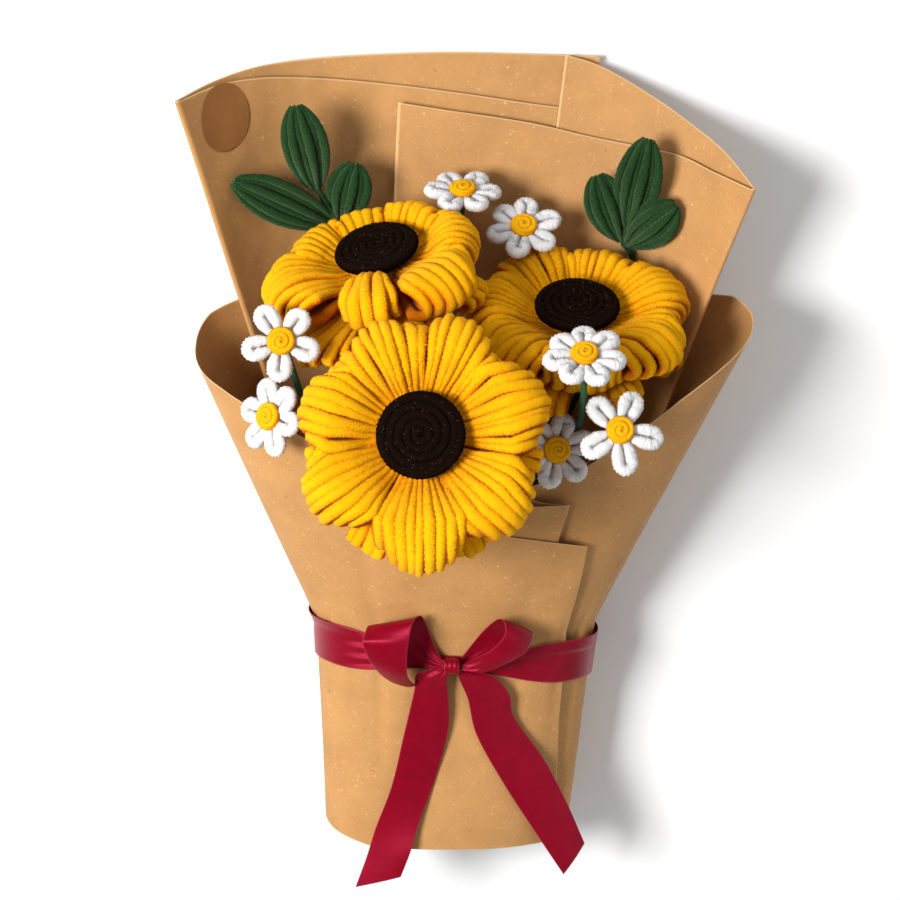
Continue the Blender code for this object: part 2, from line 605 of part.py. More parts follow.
def leaf(name, base, tip, look):
    """A blade of chenille rows, widest past its middle, with a fold along it."""
    base, tip = Vector(base), Vector(tip)
    ray = (tip - base).normalized()
    look = (Vector(look) - ray * Vector(look).dot(ray)).normalized()
    side = look.cross(ray)
    points = []
    for i in range(LEAF_RINGS):
        share = i / (LEAF_RINGS - 1)
        width = LEAF_HALF_WIDTH * math.sin(math.pi * (0.07 + 0.90 * share) ** 0.9) ** 0.75
        here = base.lerp(tip, share) + look * LEAF_ARCH * math.sin(math.pi * share)
        for k in range(LEAF_ROWS + 1):
            t = 2 * k / LEAF_ROWS - 1
            points.append(here + side * width * t + look * (1.6 - 2.2 * t * t + (LEAF_RELIEF if k % 2 else 0.0)))
        for t in (0.92, 0.0, -0.92):
            points.append(here + side * width * t + look * (-1.5 - 1.6 * t * t))
    return mesh_of(name, points, tube_faces(LEAF_RINGS, LEAF_ROWS + 4), smooth=True)


def leaf_spray(key, plan, green):
    name = "leaf_spray_" + key
    meshes = [leaf(name, *blade) for blade in plan["leaves"]]
    joint = sum((Vector(base) for base, _, _ in plan["leaves"]), Vector()) / len(plan["leaves"])
    joint += (Vector(plan["leaves"][0][1]) - joint).normalized() * LEAF_ARCH
    route = stem_route("leaf_" + key, [joint, *plan["via"]])
    fuse(name, meshes + [tube(name, route, DAISY_STEM["radius"], DAISY_STEM["sides"])], green)


def ribbon_band(finish):
    """The ribbon round the waist, a closed flat loop."""
    points = []
    outer, inner = -BAND_GAP - RIBBON, -BAND_GAP
    for depth, side in ((outer, -0.5), (outer, 0.5), (inner, 0.5), (inner, -0.5)):
        for angle in WRAP_STATIONS:
            x = on_outline(angle)[0].x
            points.append(wrap_point(angle, BAND_UP + BAND_SLOPE * x + side * RIBBON_WIDTH, depth))
    count = len(WRAP_STATIONS)
    faces = []
    for j in range(count):
        k = (j + 1) % count
        for ring in range(4):
            nxt = (ring + 1) % 4
            faces.append((ring * count + j, ring * count + k, nxt * count + k, nxt * count + j))
    add_object("ribbon_band", mesh_of("ribbon_band", points, faces), finish)


def ribbon(name, rails, rings):
    """A flat ribbon between two edges, each given as points."""
    one = smooth_line([a for a, _ in rails], rings)
    two = smooth_line([b for _, b in rails], rings)
    points = []
    for i, (a, b) in enumerate(zip(one, two)):
        before, after = max(i - 1, 0), min(i + 1, rings - 1)
        way = (one[after] + two[after] - one[before] - two[before]).normalized()
        across = (b - a).normalized()
        thick = way.cross(across).normalized() * RIBBON / 2
        points += [a + thick, b + thick, b - thick, a - thick]
    return mesh_of(name, points, tube_faces(rings, 4))


def ribbon_bow(finish):
    """The knot, two loops and two tails, one piece of ribbon tied over the band."""
    meshes = [turned("knot", Vector(KNOT_MIDDLE), flower_axes((0, 0.05, 1)), KNOT, HUB_SIDES)]
    meshes += [ribbon(name, rails, TAIL_RINGS if "tail" in name else LOOP_RINGS) for name, rails in BOW.items()]
    fuse("ribbon_bow", meshes, finish)


def main():
    for old in list(bpy.data.objects):
        bpy.data.objects.remove(old)
    kraft = material("kraft_paper", KRAFT, 0.85)
    yellow = material("yellow_chenille", YELLOW, 0.95)
    brown = material("brown_chenille", BROWN, 0.95)
    white = material("white_chenille", WHITE, 0.95)
    eye = material("eye_chenille", EYE_YELLOW, 0.95)
    leaf_green = material("leaf_chenille", LEAF_GREEN, 0.95)
    stem_green = material("stem_chenille", STEM_GREEN, 0.9)
    satin = material("satin_ribbon", BURGUNDY, 0.3)
    foam = material("foam", FOAM_GREEN, 0.95)
    outer_wrap(kraft)
    back_sheet("back_left_sheet", LEFT_OUTER, LEFT_INNER, FIRST_SHEET, None, kraft)
    back_sheet("back_right_sheet", RIGHT_OUTER, RIGHT_INNER, FIRST_SHEET + 2 * FOLD_GAP, RIGHT_INNER_EDGE, kraft)
    foam_block(foam)
    for key, plan in SUNFLOWERS.items():
        sunflower(key, plan, yellow, brown, stem_green)
    for number, plan in DAISIES.items():
        daisy(number, plan, white, eye, stem_green)
    for key, plan in LEAF_SPRAYS.items():
        leaf_spray(key, plan, leaf_green)
    ribbon_band(satin)
    ribbon_bow(satin)


main()
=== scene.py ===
# A bouquet of fuzzy craft-stem flowers in kraft paper, tied with satin ribbon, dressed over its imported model.
# Shapes are worked out in design millimetres as (x, up, z), with up going from the tie to the flowers.
import math

import bpy
import numpy as np
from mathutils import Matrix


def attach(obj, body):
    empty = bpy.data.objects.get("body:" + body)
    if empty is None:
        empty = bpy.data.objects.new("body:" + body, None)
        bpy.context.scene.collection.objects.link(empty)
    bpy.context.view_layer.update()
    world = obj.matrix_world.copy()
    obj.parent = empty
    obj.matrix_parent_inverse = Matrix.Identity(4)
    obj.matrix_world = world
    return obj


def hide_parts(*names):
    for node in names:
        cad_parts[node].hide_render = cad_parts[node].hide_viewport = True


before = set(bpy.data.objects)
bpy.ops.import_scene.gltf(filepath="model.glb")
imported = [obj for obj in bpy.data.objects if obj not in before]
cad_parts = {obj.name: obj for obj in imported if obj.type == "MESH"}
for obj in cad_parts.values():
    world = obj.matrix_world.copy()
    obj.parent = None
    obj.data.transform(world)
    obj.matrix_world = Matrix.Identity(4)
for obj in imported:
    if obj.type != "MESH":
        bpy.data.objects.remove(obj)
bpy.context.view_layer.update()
rng = np.random.default_rng(11)
print("frame loaded:", len(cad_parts), "nodes")

backRestUp = 85.0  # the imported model's origin lies this far up from the tie


# Camera, floor and light

view = {"tilt": 14.0, "distance": 1.4, "target": (0.0, 0.036, 0.060), "lens": 101.8, "sensor": 36.0}


def newObject(name, data):
    # An object with this data, linked to the scene
    thing = bpy.data.objects.new(name, data)
    bpy.context.scene.collection.objects.link(thing)
    return thing


def addCamera():
    # Looks down on the lying bouquet: place = target + distance * (0, sin tilt, cos tilt)
    tilt = math.radians(view["tilt"])
    camera = newObject("camera", bpy.data.cameras.new("camera"))
    camera.data.lens, camera.data.sensor_width = view["lens"], view["sensor"]
    x, y, z = view["target"]
    camera.location = (x, y + math.sin(tilt) * view["distance"], z + math.cos(tilt) * view["distance"])
    camera.rotation_euler = (-tilt, 0.0, 0.0)
    bpy.context.scene.camera = camera


studio = {
    "floorColour": (0.90, 0.90, 0.90), "floorRoughness": 0.7, "floorHalf": 6.0, "floorHeight": -0.0003,
    "worldStrength": 0.33,
    "lights": {  # place, aim, size and power
        "key": ((-0.80, 0.22, 1.15), (0.0, 0.03, 0.05), 0.50, 27.0),
        "fill": ((0.9, -0.5, 1.0), (0.0, 0.0, 0.05), 1.0, 3.0),
        "rear": ((0.2, 1.2, 0.5), (0.0, 0.1, 0.05), 0.8, 2.0),
    },
}


def addStudio():
    # A wide pale floor, an even white surround and three square lamps
    mesh = bpy.data.meshes.new("floor")
    half = studio["floorHalf"]
    corners = [(x * half, y * half, studio["floorHeight"]) for x, y in ((-1, -1), (1, -1), (1, 1), (-1, 1))]
    mesh.from_pydata(corners, [], [(0, 1, 2, 3)])
    floor = newObject("floor", mesh)
    finish, tree, shader = newMaterial("paleFloor")
    feed(tree, shader, {"Base Color": (*studio["floorColour"], 1), "Roughness": studio["floorRoughness"]})
    mesh.materials.append(finish)
    world = bpy.data.worlds.new("surround")
    world.use_nodes = True
    feed(world.node_tree, world.node_tree.nodes["Background"],
         {"Color": (1, 1, 1, 1), "Strength": studio["worldStrength"]})
    bpy.context.scene.world = world
    for name, (place, aim, size, power) in studio["lights"].items():
        lamp = bpy.data.lights.new(name, "AREA")
        lamp.size, lamp.energy = size, power
        light = newObject(name, lamp)
        light.location = place
        toward = np.subtract(aim, place)
        light.rotation_euler = (math.acos(-toward[2] / np.linalg.norm(toward)), 0,
                                math.atan2(toward[1], toward[0]) - math.pi / 2)


# Shapes as whole arrays

meshing = {
    "lineSteps": 16,  # steps of a curve between two of its points
    "tubeUv": 0.1, "sheetUv": 0.01,  # UV per millimetre along a piece
    "ribs": 0.9,  # how much every second ring of a strand stands out, against its random roughness of 1
    "rim": 0.003,  # share of a sheet between its rim and the next row
}


def toScene(points):
    # Design millimetres to scene metres: up less the rest's place, then everything over a thousand
    return (np.asarray(points, float).reshape(-1, 3) - (0.0, backRestUp, 0.0)) * 0.001


def unit(vectors):
    # Each vector over its own length
    return vectors / np.maximum(np.linalg.norm(vectors, axis=-1, keepdims=True), 1e-9)


def travelled(points, axis=0):
    # Distance gone along one axis of the points: the sum of all steps so far, from 0
    steps = np.linalg.norm(np.diff(points, axis=axis), axis=-1)
    return np.insert(np.cumsum(steps, axis=axis), 0, 0.0, axis=axis)


def smoothLine(points, count):
    # A Catmull-Rom curve through the points, read again at equal steps of its length
    points = np.asarray(points, float)
    ends = np.vstack([2 * points[0] - points[1], points, 2 * points[-1] - points[-2]])
    a, b, c, d = (ends[i:len(ends) - 3 + i, None] for i in range(4))
    t = np.linspace(0, 1, meshing["lineSteps"], endpoint=False)[None, :, None]
    bend, twist = 2 * a - 5 * b + 4 * c - d, 3 * b - 3 * c + d - a
    fine = 0.5 * (2 * b + (c - a) * t + bend * t ** 2 + twist * t ** 3)
    fine = np.vstack([fine.reshape(-1, points.shape[1]), points[-1]])
    along = travelled(fine)
    return np.stack([np.interp(np.linspace(0, along[-1], count), along, part) for part in fine.T], axis=1)


def wander(shape, knots, amount):
    # Slow random drift along the last axis: a few random values joined by cosine steps
    values = rng.uniform(-amount, amount, (*shape[:-1], knots + 1))
    at = np.linspace(0, knots - 1e-6, shape[-1])
    low = at.astype(int)
    share = 0.5 - 0.5 * np.cos(np.pi * (at - low))
    return values[..., low] * (1 - share) + values[..., low + 1] * share


def merged(shapes):
    # Several shapes as one: points, faces, corner UVs and painted light one after another, faces counted on
    counts = np.cumsum([0] + [len(s["points"]) for s in shapes[:-1]])
    return {
        "points": np.concatenate([s["points"] for s in shapes]),
        "faces": [f + n for s, n in zip(shapes, counts) for f in s["faces"]],
        "uv": [uv for s in shapes for uv in s["uv"]],
        "paintedLight": np.concatenate([s["paintedLight"] for s in shapes]),
        "heart": np.concatenate([s["heart"] for s in shapes]),
    }


def tubes(paths, normals, wide, tall, sides, pile=0.0, lightShare=1.0):
    # Round each path: point = path + side * wide * cos(turn) + face * tall * sin(turn), roughened by the pile
    strands, rings, _ = paths.shape
    normals = np.broadcast_to(normals, paths.shape)
    wide, tall = (np.broadcast_to(v, (strands, rings))[..., None, None] for v in (wide, tall))
    along = unit(np.gradient(paths, axis=1))
    side = unit(np.cross(along, normals))[:, :, None]
    face = np.cross(side, along[:, :, None])
    turn = 2 * np.pi * np.arange(sides) / sides
    ribs = meshing["ribs"] * (-1) ** np.arange(rings)[None, :, None, None]
    rough = 1 + pile * (rng.uniform(-1, 1, (strands, rings, sides, 1)) + ribs)
    cosine, sine = np.cos(turn)[None, None, :, None], np.sin(turn)[None, None, :, None]
    body = paths[:, :, None] + rough * (side * wide * cosine + face * tall * sine)
    poles = paths[:, [0, -1]]
    size = rings * sides
    points = np.concatenate([body.reshape(strands, size, 3), poles], axis=1).reshape(-1, 3)
    ring, k = np.meshgrid(np.arange(rings - 1), np.arange(sides), indexing="ij")
    nxt = (k + 1) % sides
    start, end = ring * sides, (ring + 1) * sides
    walls = np.stack([start + k, end + k, end + nxt, start + nxt], -1)
    fan = np.arange(0, sides, 2)
    first = np.stack([np.full_like(fan, size), fan, fan + 1, (fan + 2) % sides], -1)
    last = np.stack([np.full_like(fan, size + 1), (fan + 2) % sides, fan + 1, fan], -1)
    last[:, 1:] += (rings - 1) * sides
    one = np.concatenate([walls.reshape(-1, 4), first, last])
    faces = (one[None] + (np.arange(strands) * (size + 2))[:, None, None]).reshape(-1, 4)
    far = travelled(paths, 1) * meshing["tubeUv"]
    around = np.stack([k, k, k + 1, k + 1], -1).reshape(-1, 4) / sides
    rows = np.stack([ring, ring + 1, ring + 1, ring], -1).reshape(-1, 4)
    uv = np.stack([np.broadcast_to(around, (strands, *around.shape)), far[:, rows]], -1)
    uv = np.concatenate([uv, np.zeros((strands, 2 * len(fan), 4, 2))], axis=1).reshape(-1, 4, 2)
    # Painted light: 1 on the side of a strand towards its normal, down to 0 at its sides and underneath, where
    # shade is painted, times lightShare
    paintedLight = np.maximum(0, sine[..., 0]) * np.broadcast_to(lightShare, (strands, rings))[..., None]
    paintedLight = np.concatenate([paintedLight.reshape(strands, size), np.zeros((strands, 2))], axis=1).ravel()
    heart = np.concatenate([np.repeat(paths, sides, axis=1), poles], axis=1).reshape(-1, 3)
    return {"points": points, "faces": [faces], "uv": [uv], "paintedLight": paintedLight, "heart": heart}


fuzz = {
    "paintedLight": 0.02, "clear": 0.3,  # fibres start where the painted light and the distance from the heart are above these
    "lean": 0.45, "sink": 0.25, "scatter": 0.2, "shortest": 0.5,
}


def fuzzed(shape, count, length, thick):
    # Loose fibres on a strand: each a thin three-sided spike from a random point, away from its heart
    away = shape["points"] - shape["heart"]
    free = np.flatnonzero((np.linalg.norm(away, axis=1) > fuzz["clear"]) & (shape["paintedLight"] > fuzz["paintedLight"]))
    chosen = rng.choice(free, count)
    outward = unit(away[chosen])
    lean = unit(outward + rng.normal(0, fuzz["lean"], (count, 3)))
    side = unit(np.cross(lean, rng.normal(size=(count, 3))))
    other = np.cross(lean, side)
    base = shape["points"][chosen] - outward * fuzz["sink"] + rng.normal(0, fuzz["scatter"], (count, 3))
    turns = (2 * np.pi * np.arange(3) / 3)[:, None]
    ring = base[:, None] + thick * (side[:, None] * np.cos(turns) + other[:, None] * np.sin(turns))
    tip = base + lean * (rng.uniform(fuzz["shortest"], 1, (count, 1)) * length)
    points = np.concatenate([ring, tip[:, None]], axis=1).reshape(-1, 3)
    one = np.array([(0, 1, 3), (1, 2, 3), (2, 0, 3), (2, 1, 0)])
    faces = (one[None] + 4 * np.arange(count)[:, None, None]).reshape(-1, 3)
    spikes = {"points": points, "faces": [faces], "uv": [np.zeros((len(faces) * 3, 2))],
              "paintedLight": np.repeat(shape["paintedLight"][chosen], 4), "heart": np.repeat(base, 4, axis=0)}
    return merged([shape, spikes])


def sheetShape(front, back, closed=False):
    # Two grids of points, columns by rows, closed round their rim into one thin body,
    # whose front faces away from its back
    columns, rows, _ = front.shape
    size = columns * rows
    last = columns if closed else columns - 1
    c, r = np.meshgrid(np.arange(last), np.arange(rows - 1), indexing="ij")
    nxt = (c + 1) % columns
    wall = np.stack([c * rows + r, nxt * rows + r, nxt * rows + r + 1, c * rows + r + 1], -1).reshape(-1, 4)

    def strip(one, two, turned):
        # Faces between a line of points at the front and the same line at the back
        quads = np.stack([one, two, size + two, size + one], -1)
        return quads[:, ::-1] if turned else quads

    c, r = np.arange(last), np.arange(rows - 1)
    strips = [strip(c * rows + row, (c + 1) % columns * rows + row, row == 0) for row in (0, rows - 1)]
    if not closed:
        strips += [strip(column * rows + r, column * rows + r + 1, column > 0) for column in (0, columns - 1)]
    faces = np.concatenate([wall, size + wall[:, ::-1], *strips])
    points = np.concatenate([front.reshape(-1, 3), back.reshape(-1, 3)])
    place = np.stack([travelled(front, 0), travelled(front, 1)], -1) * meshing["sheetUv"]
    place = np.tile(place.reshape(-1, 2), (2, 1))
    ahead = (front - back).reshape(-1, 3)[wall[:, 0]]
    facing = np.cross(points[wall[:, 2]] - points[wall[:, 0]], points[wall[:, 3]] - points[wall[:, 1]])
    if np.einsum("ij,ij->", ahead, facing) < 0:
        faces = faces[:, ::-1]
    # Painted highlight: the rim rows get painted light, a light line along the edges of paper and ribbon
    rim = np.zeros((columns, rows))
    rim[:, [0, -1]] = 1
    if not closed:
        rim[[0, -1]] = 1
    return {"points": points, "faces": [faces], "uv": [place[faces]], "paintedLight": np.tile(rim.ravel(), 2),
            "heart": points}


def rimmed(count, close=meshing["rim"]):
    # Shares from 0 to 1 with one more row close to each end, so that the painted highlight at a rim stays thin
    return np.concatenate([[0, close], np.linspace(0, 1, count)[1:-1], [1 - close, 1]])


slots = {
    "kraftPaper": "kraft_paper", "kraftLabel": "kraft_paper", "burgundySatin": "satin_ribbon",
    "yellowChenille": "yellow_chenille", "brownChenille": "brown_chenille", "paleLint": "brown_chenille",
    "whiteChenille": "white_chenille", "eyeChenille": "eye_chenille", "leafChenille": "leaf_chenille",
    "stemChenille": "stem_chenille",
}


def addPiece(name, shape, finishName, nodes=()):
    # One object at the origin with its place in its mesh
    mesh = bpy.data.meshes.new(name)
    points, slotName = toScene(shape["points"]), slots[finishName]
    mesh.from_pydata(points, [], [face for faces in shape["faces"] for face in faces.tolist()])
    uv = np.concatenate([corner.reshape(-1, 2) for corner in shape["uv"]])
    mesh.uv_layers.new(name="alongPiece").data.foreach_set("uv", uv.ravel())
    mesh.attributes.new("paintedLight", "FLOAT", "POINT").data.foreach_set("value", shape["paintedLight"])
    mesh.materials.append(finishes[finishName])
    mesh.shade_smooth()
    piece = newObject(name, mesh)
    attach(piece, "root")
    if nodes:
        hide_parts(*nodes)
    return piece


# Materials


def newMaterial(name):
    # A Principled material, its tree and its shader node
    finish = bpy.data.materials.new(name)
    finish.use_nodes = True
    return finish, finish.node_tree, finish.node_tree.nodes["Principled BSDF"]


def feed(tree, node, values):
    # Each value goes to the input of that name or number, by a link where it is another node's output
    for key, value in values.items():
        if isinstance(value, bpy.types.NodeSocket):
            tree.links.new(value, node.inputs[key])
        else:
            node.inputs[key].default_value = value
    return node


def addNode(tree, kind, values, **settings):
    # A node with its settings and its inputs
    node = tree.nodes.new(kind)
    for key, value in settings.items():
        setattr(node, key, value)
    return feed(tree, node, values)


def newGroup(name, inputs, outputs):
    # An empty node group with its named sockets
    group = bpy.data.node_groups.new(name, "ShaderNodeTree")
    for way, sockets in (("INPUT", inputs), ("OUTPUT", outputs)):
        for label, kind in sockets.items():
            group.interface.new_socket(label, in_out=way, socket_type="NodeSocket" + kind)
    return group, group.nodes.new("NodeGroupInput").outputs, group.nodes.new("NodeGroupOutput")


def mixColour(tree, factor, first, second, blend="MIX"):
    # first * (1 - factor) + second * factor, or another blend of the two
    values = {0: factor, 6: first, 7: second}
    return addNode(tree, "ShaderNodeMix", values, data_type="RGBA", blend_type=blend).outputs[2]


def shaded(tree, colour, shade):
    # colour * shade, alike in all three channels
    grey = addNode(tree, "ShaderNodeCombineColor", {0: shade, 1: shade, 2: shade}).outputs[0]
    return mixColour(tree, 1.0, colour, grey, "MULTIPLY")


def chain(tree, operation, *values):
    # The values joined one after another by one operation, as in a - b - c
    result = values[0]
    for value in values[1:]:
        result = addNode(tree, "ShaderNodeMath", {0: result, 1: value}, operation=operation).outputs[0]
    return result


def times(tree, *values):
    # a * b * c
    return chain(tree, "MULTIPLY", *values)


def plus(tree, *values):
    # a + b + c
    return chain(tree, "ADD", *values)


def noise(tree, scale, detail, rough):
    # Smooth noise over the piece: each further layer is twice as fine and rough times as strong
    place = tree.nodes.get("Texture Coordinate") or tree.nodes.new("ShaderNodeTexCoord")
    values = {"Vector": place.outputs["Object"], "Scale": scale, "Detail": detail, "Roughness": rough}
    return addNode(tree, "ShaderNodeTexNoise", values).outputs["Fac"]


def stripes(tree, direction, scale, distortion, fineness=1.0):
    # Waves over the piece's UV, bent by noise that is fineness times as fine
    uv = tree.nodes.new("ShaderNodeUVMap").outputs[0]
    values = {"Vector": uv, "Scale": scale, "Distortion": distortion, "Detail Scale": fineness}
    return addNode(tree, "ShaderNodeTexWave", values, bands_direction=direction).outputs["Fac"]


def paintedLightOf(tree):
    # The painted light attribute: 1 on top of a strand, where light is painted, and at a sheet's rim, where a
    # highlight is painted; 0 in the grooves, where shade is painted, and over the sheet
    return addNode(tree, "ShaderNodeAttribute", {}, attribute_name="paintedLight").outputs["Fac"]


def spread(tree, value, low, high, outLow=0.0, outHigh=1.0):
    # A straight line from (low, outLow) to (high, outHigh), held at both ends
    return addNode(tree, "ShaderNodeMapRange", {0: value, 1: low, 2: high, 3: outLow, 4: outHigh}).outputs[0]


def bumped(tree, height, strength, distance, shader):
    # The normal leans by the slope of height * distance, strength of the way
    bump = addNode(tree, "ShaderNodeBump", {"Strength": strength, "Distance": distance, "Height": height})
    feed(tree, shader, {"Normal": bump.outputs[0]})


def grouped(name, group, colours, bump):
    # A material that takes its colour and height from a shared group, which is fed with its own colours
    finish, tree, shader = newMaterial(name)
    values = {label: (*colour, 1) for label, colour in colours.items()}
    node = addNode(tree, "ShaderNodeGroup", values, node_tree=group)
    feed(tree, shader, {"Base Color": node.outputs["Color"]})
    bumped(tree, node.outputs["Height"], *bump, shader)
    return finish, tree, shader, node


pileLook = {
    "noise": {"tufts": (900.0, 3.0, 0.6), "fine": (2600.0, 2.0, 0.7), "broad": (60.0, 2.0, 0.5)},
    "ragged": 1.6, "shadeToLight": (0.05, 0.85), "tipFibres": (0.52, 0.72), "tipCrest": (0.2, 0.9),
    "shade": (0.3, 0.7, 0.9, 1.06), "ribs": (3.6, 2.5, 3.0),
    "tuftHeight": 0.8, "fineHeight": 0.5, "ribHeight": 0.25, "bump": (0.9, 0.0011),
    "roughness": 0.92, "sheenRoughness": 0.35, "specular": 0.04,
}
chenilles = {  # colour of the painted light on the crests, of the painted shade in the grooves and of the tips, share of tips, sheen and its tint
    "yellowChenille": ((1.0, 0.47, 0.003), (0.66, 0.15, 0.0), (1.0, 0.60, 0.02), 0.35, 0.10, (1.0, 0.8, 0.3)),
    "brownChenille": ((0.0065, 0.0022, 0.0011), (0.0012, 0.0005, 0.0003), (0.05, 0.022, 0.011), 0.35, 0.0,
                      (0.5, 0.35, 0.28)),
    "paleLint": ((0.17, 0.10, 0.065), (0.08, 0.05, 0.03), (0.40, 0.33, 0.28), 0.5, 0.2, (0.8, 0.7, 0.6)),
    "whiteChenille": ((0.93, 0.92, 0.92), (0.82, 0.78, 0.75), (0.9, 0.9, 0.9), 0.4, 0.2, (1.0, 1.0, 1.0)),
    "eyeChenille": ((1.0, 0.50, 0.006), (0.75, 0.25, 0.0), (1.0, 0.62, 0.03), 0.35, 0.12, (1.0, 0.7, 0.2)),
    "leafChenille": ((0.011, 0.050, 0.013), (0.0008, 0.005, 0.0012), (0.08, 0.16, 0.05), 0.7, 0.35,
                     (0.6, 0.8, 0.45)),
    "stemChenille": ((0.02, 0.09, 0.035), (0.004, 0.02, 0.01), (0.10, 0.22, 0.12), 0.4, 0.3,
                     (0.5, 0.8, 0.55)),
}


def pileGroup():
    # Chenille pile: colour goes from painted shade in the grooves to painted light on the crests by the painted
    # light attribute and fine noise, pale tips show only where light is painted on the crests, and height adds
    # tufts, the finest fibres and a rib for each turn of the wire
    group, given, out = newGroup(
        "chenillePile", {"Lit Crest": "Color", "Shaded Groove": "Color", "Tip": "Color", "Tip Amount": "Float"},
        {"Color": "Color", "Height": "Float"})
    look, paintedLight = pileLook, paintedLightOf(group)
    tufts, fine, broad = (noise(group, *plan) for plan in look["noise"].values())
    depth = plus(group, paintedLight, times(group, chain(group, "SUBTRACT", tufts, 0.5), look["ragged"]))
    base = mixColour(group, spread(group, depth, *look["shadeToLight"]), given["Shaded Groove"], given["Lit Crest"])
    tips = times(group, spread(group, fine, *look["tipFibres"]), given["Tip Amount"],
                 spread(group, paintedLight, *look["tipCrest"]))
    base = mixColour(group, tips, base, given["Tip"])
    base = shaded(group, base, spread(group, broad, *look["shade"]))
    height = plus(group, times(group, tufts, look["tuftHeight"]), times(group, fine, look["fineHeight"]),
                  times(group, stripes(group, "Y", *look["ribs"]), look["ribHeight"]))
    feed(group, out, {"Color": base, "Height": height})
    return group


def chenille(name, paintedLight, shadedGroove, tip, tipAmount, sheen, sheenTint):
    # Craft stem: the pile's colour, with its painted light and shade, and height on a matt shader with a faint
    # sheen
    look, colours = pileLook, {"Lit Crest": paintedLight, "Shaded Groove": shadedGroove, "Tip": tip}
    finish, tree, shader, pile = grouped(name, groups["pile"], colours, look["bump"])
    feed(tree, pile, {"Tip Amount": tipAmount})
    feed(tree, shader, {"Roughness": look["roughness"], "Specular IOR Level": look["specular"],
                        "Sheen Weight": sheen, "Sheen Roughness": look["sheenRoughness"],
                        "Sheen Tint": (*sheenTint, 1)})
    return finish


kraftLook = {
    "noise": {"clouds": (45.0, 4.0, 0.6), "grain": (900.0, 3.0, 0.7), "curls": (260.0, 1.0, 0.5),
              "patches": (470.0, 1.0, 0.5), "flecks": (330.0, 1.0, 0.3), "crumple": (24.0, 2.0, 0.45),
              "swell": (9.0, 1.0, 0.4)},
    "fibreWidth": (0.005, 0.017), "patchEdge": (0.56, 0.62), "fleckEdge": (0.74, 0.80),
    "cloudShade": (0.25, 0.75, 0.88, 1.08), "grainShade": (0.2, 0.8, 0.95, 1.05),
    "fibreAmount": 0.6, "rimHighlightAmount": 0.95, "fleckAmount": 0.35,
    "grainHeight": 0.5, "fibreHeight": 0.5, "crumpleHeight": 34.0, "bump": (0.25, 0.0004),
    "roughness": (0.2, 0.8, 0.62, 0.8), "specular": 0.3,
}
krafts = {  # base colour, colour of the fibres and of the painted rim highlight, and fleck colour
    "kraftPaper": ((0.475, 0.240, 0.080), (0.74, 0.48, 0.23), (0.22, 0.10, 0.035)),
    "kraftLabel": ((0.28, 0.112, 0.026), (0.33, 0.14, 0.04), (0.18, 0.08, 0.03)),
}


def kraftGroup():
    # Kraft paper: pulp clouds, pale fibres where a noise crosses its middle value, small dark flecks,
    # a painted highlight along the rim, and a height of grain, fibres and broad crumples
    group, given, out = newGroup("kraftPaper", {"Base": "Color", "Fibre And Rim Highlight": "Color", "Fleck": "Color"},
                                 {"Color": "Color", "Height": "Float", "Roughness": "Float"})
    look = kraftLook
    clouds, grain, curls, patches, flecks, crumple, swell = (noise(group, *n) for n in look["noise"].values())
    curls = chain(group, "ABSOLUTE", chain(group, "SUBTRACT", curls, 0.5), 0.0)
    fibres = times(group, spread(group, curls, *look["fibreWidth"], 1.0, 0.0),
                   spread(group, patches, *look["patchEdge"]))
    shade = times(group, spread(group, clouds, *look["cloudShade"]),
                  spread(group, grain, *look["grainShade"]))
    # Pale fibres, and the painted highlight along each rim in the same colour
    pale = chain(group, "MAXIMUM", times(group, fibres, look["fibreAmount"]),
                 times(group, paintedLightOf(group), look["rimHighlightAmount"]))
    colour = mixColour(group, pale, shaded(group, given["Base"], shade), given["Fibre And Rim Highlight"])
    flecks = times(group, spread(group, flecks, *look["fleckEdge"]), look["fleckAmount"])
    colour = mixColour(group, flecks, colour, given["Fleck"])
    height = plus(group, times(group, grain, look["grainHeight"]), times(group, fibres, look["fibreHeight"]),
                  times(group, plus(group, crumple, swell), look["crumpleHeight"]))
    feed(group, out, {"Color": colour, "Height": height,
                      "Roughness": spread(group, grain, *look["roughness"])})
    return group


def kraft(name, base, fibreAndRimHighlight, fleck):
    # Paper: the kraft group's colour, height and roughness on a low-gloss shader
    colours = {"Base": base, "Fibre And Rim Highlight": fibreAndRimHighlight, "Fleck": fleck}
    finish, tree, shader, paper = grouped(name, groups["kraft"], colours, kraftLook["bump"])
    feed(tree, shader, {"Roughness": paper.outputs["Roughness"], "Specular IOR Level": kraftLook["specular"]})
    return finish


satinLook = {
    "dark": (0.175, 0.0004, 0.0065, 1), "light": (0.215, 0.0007, 0.0095, 1), "edgeHighlight": (0.52, 0.055, 0.10, 1),
    "cloud": (120.0, 3.0, 0.6), "grain": (2200.0, 2.0, 0.6), "ribs": (120.0, 0.6), "threads": (24.0, 0.4),
    "threadEdge": (0.35, 0.75, 0.15, 0.75), "ribHeight": 0.5, "grainHeight": 0.6, "bump": (0.22, 0.0003),
    "roughness": (0.3, 0.7, 0.27, 0.38), "specular": 0.75, "tint": (1.0, 0.10, 0.22, 1),
}


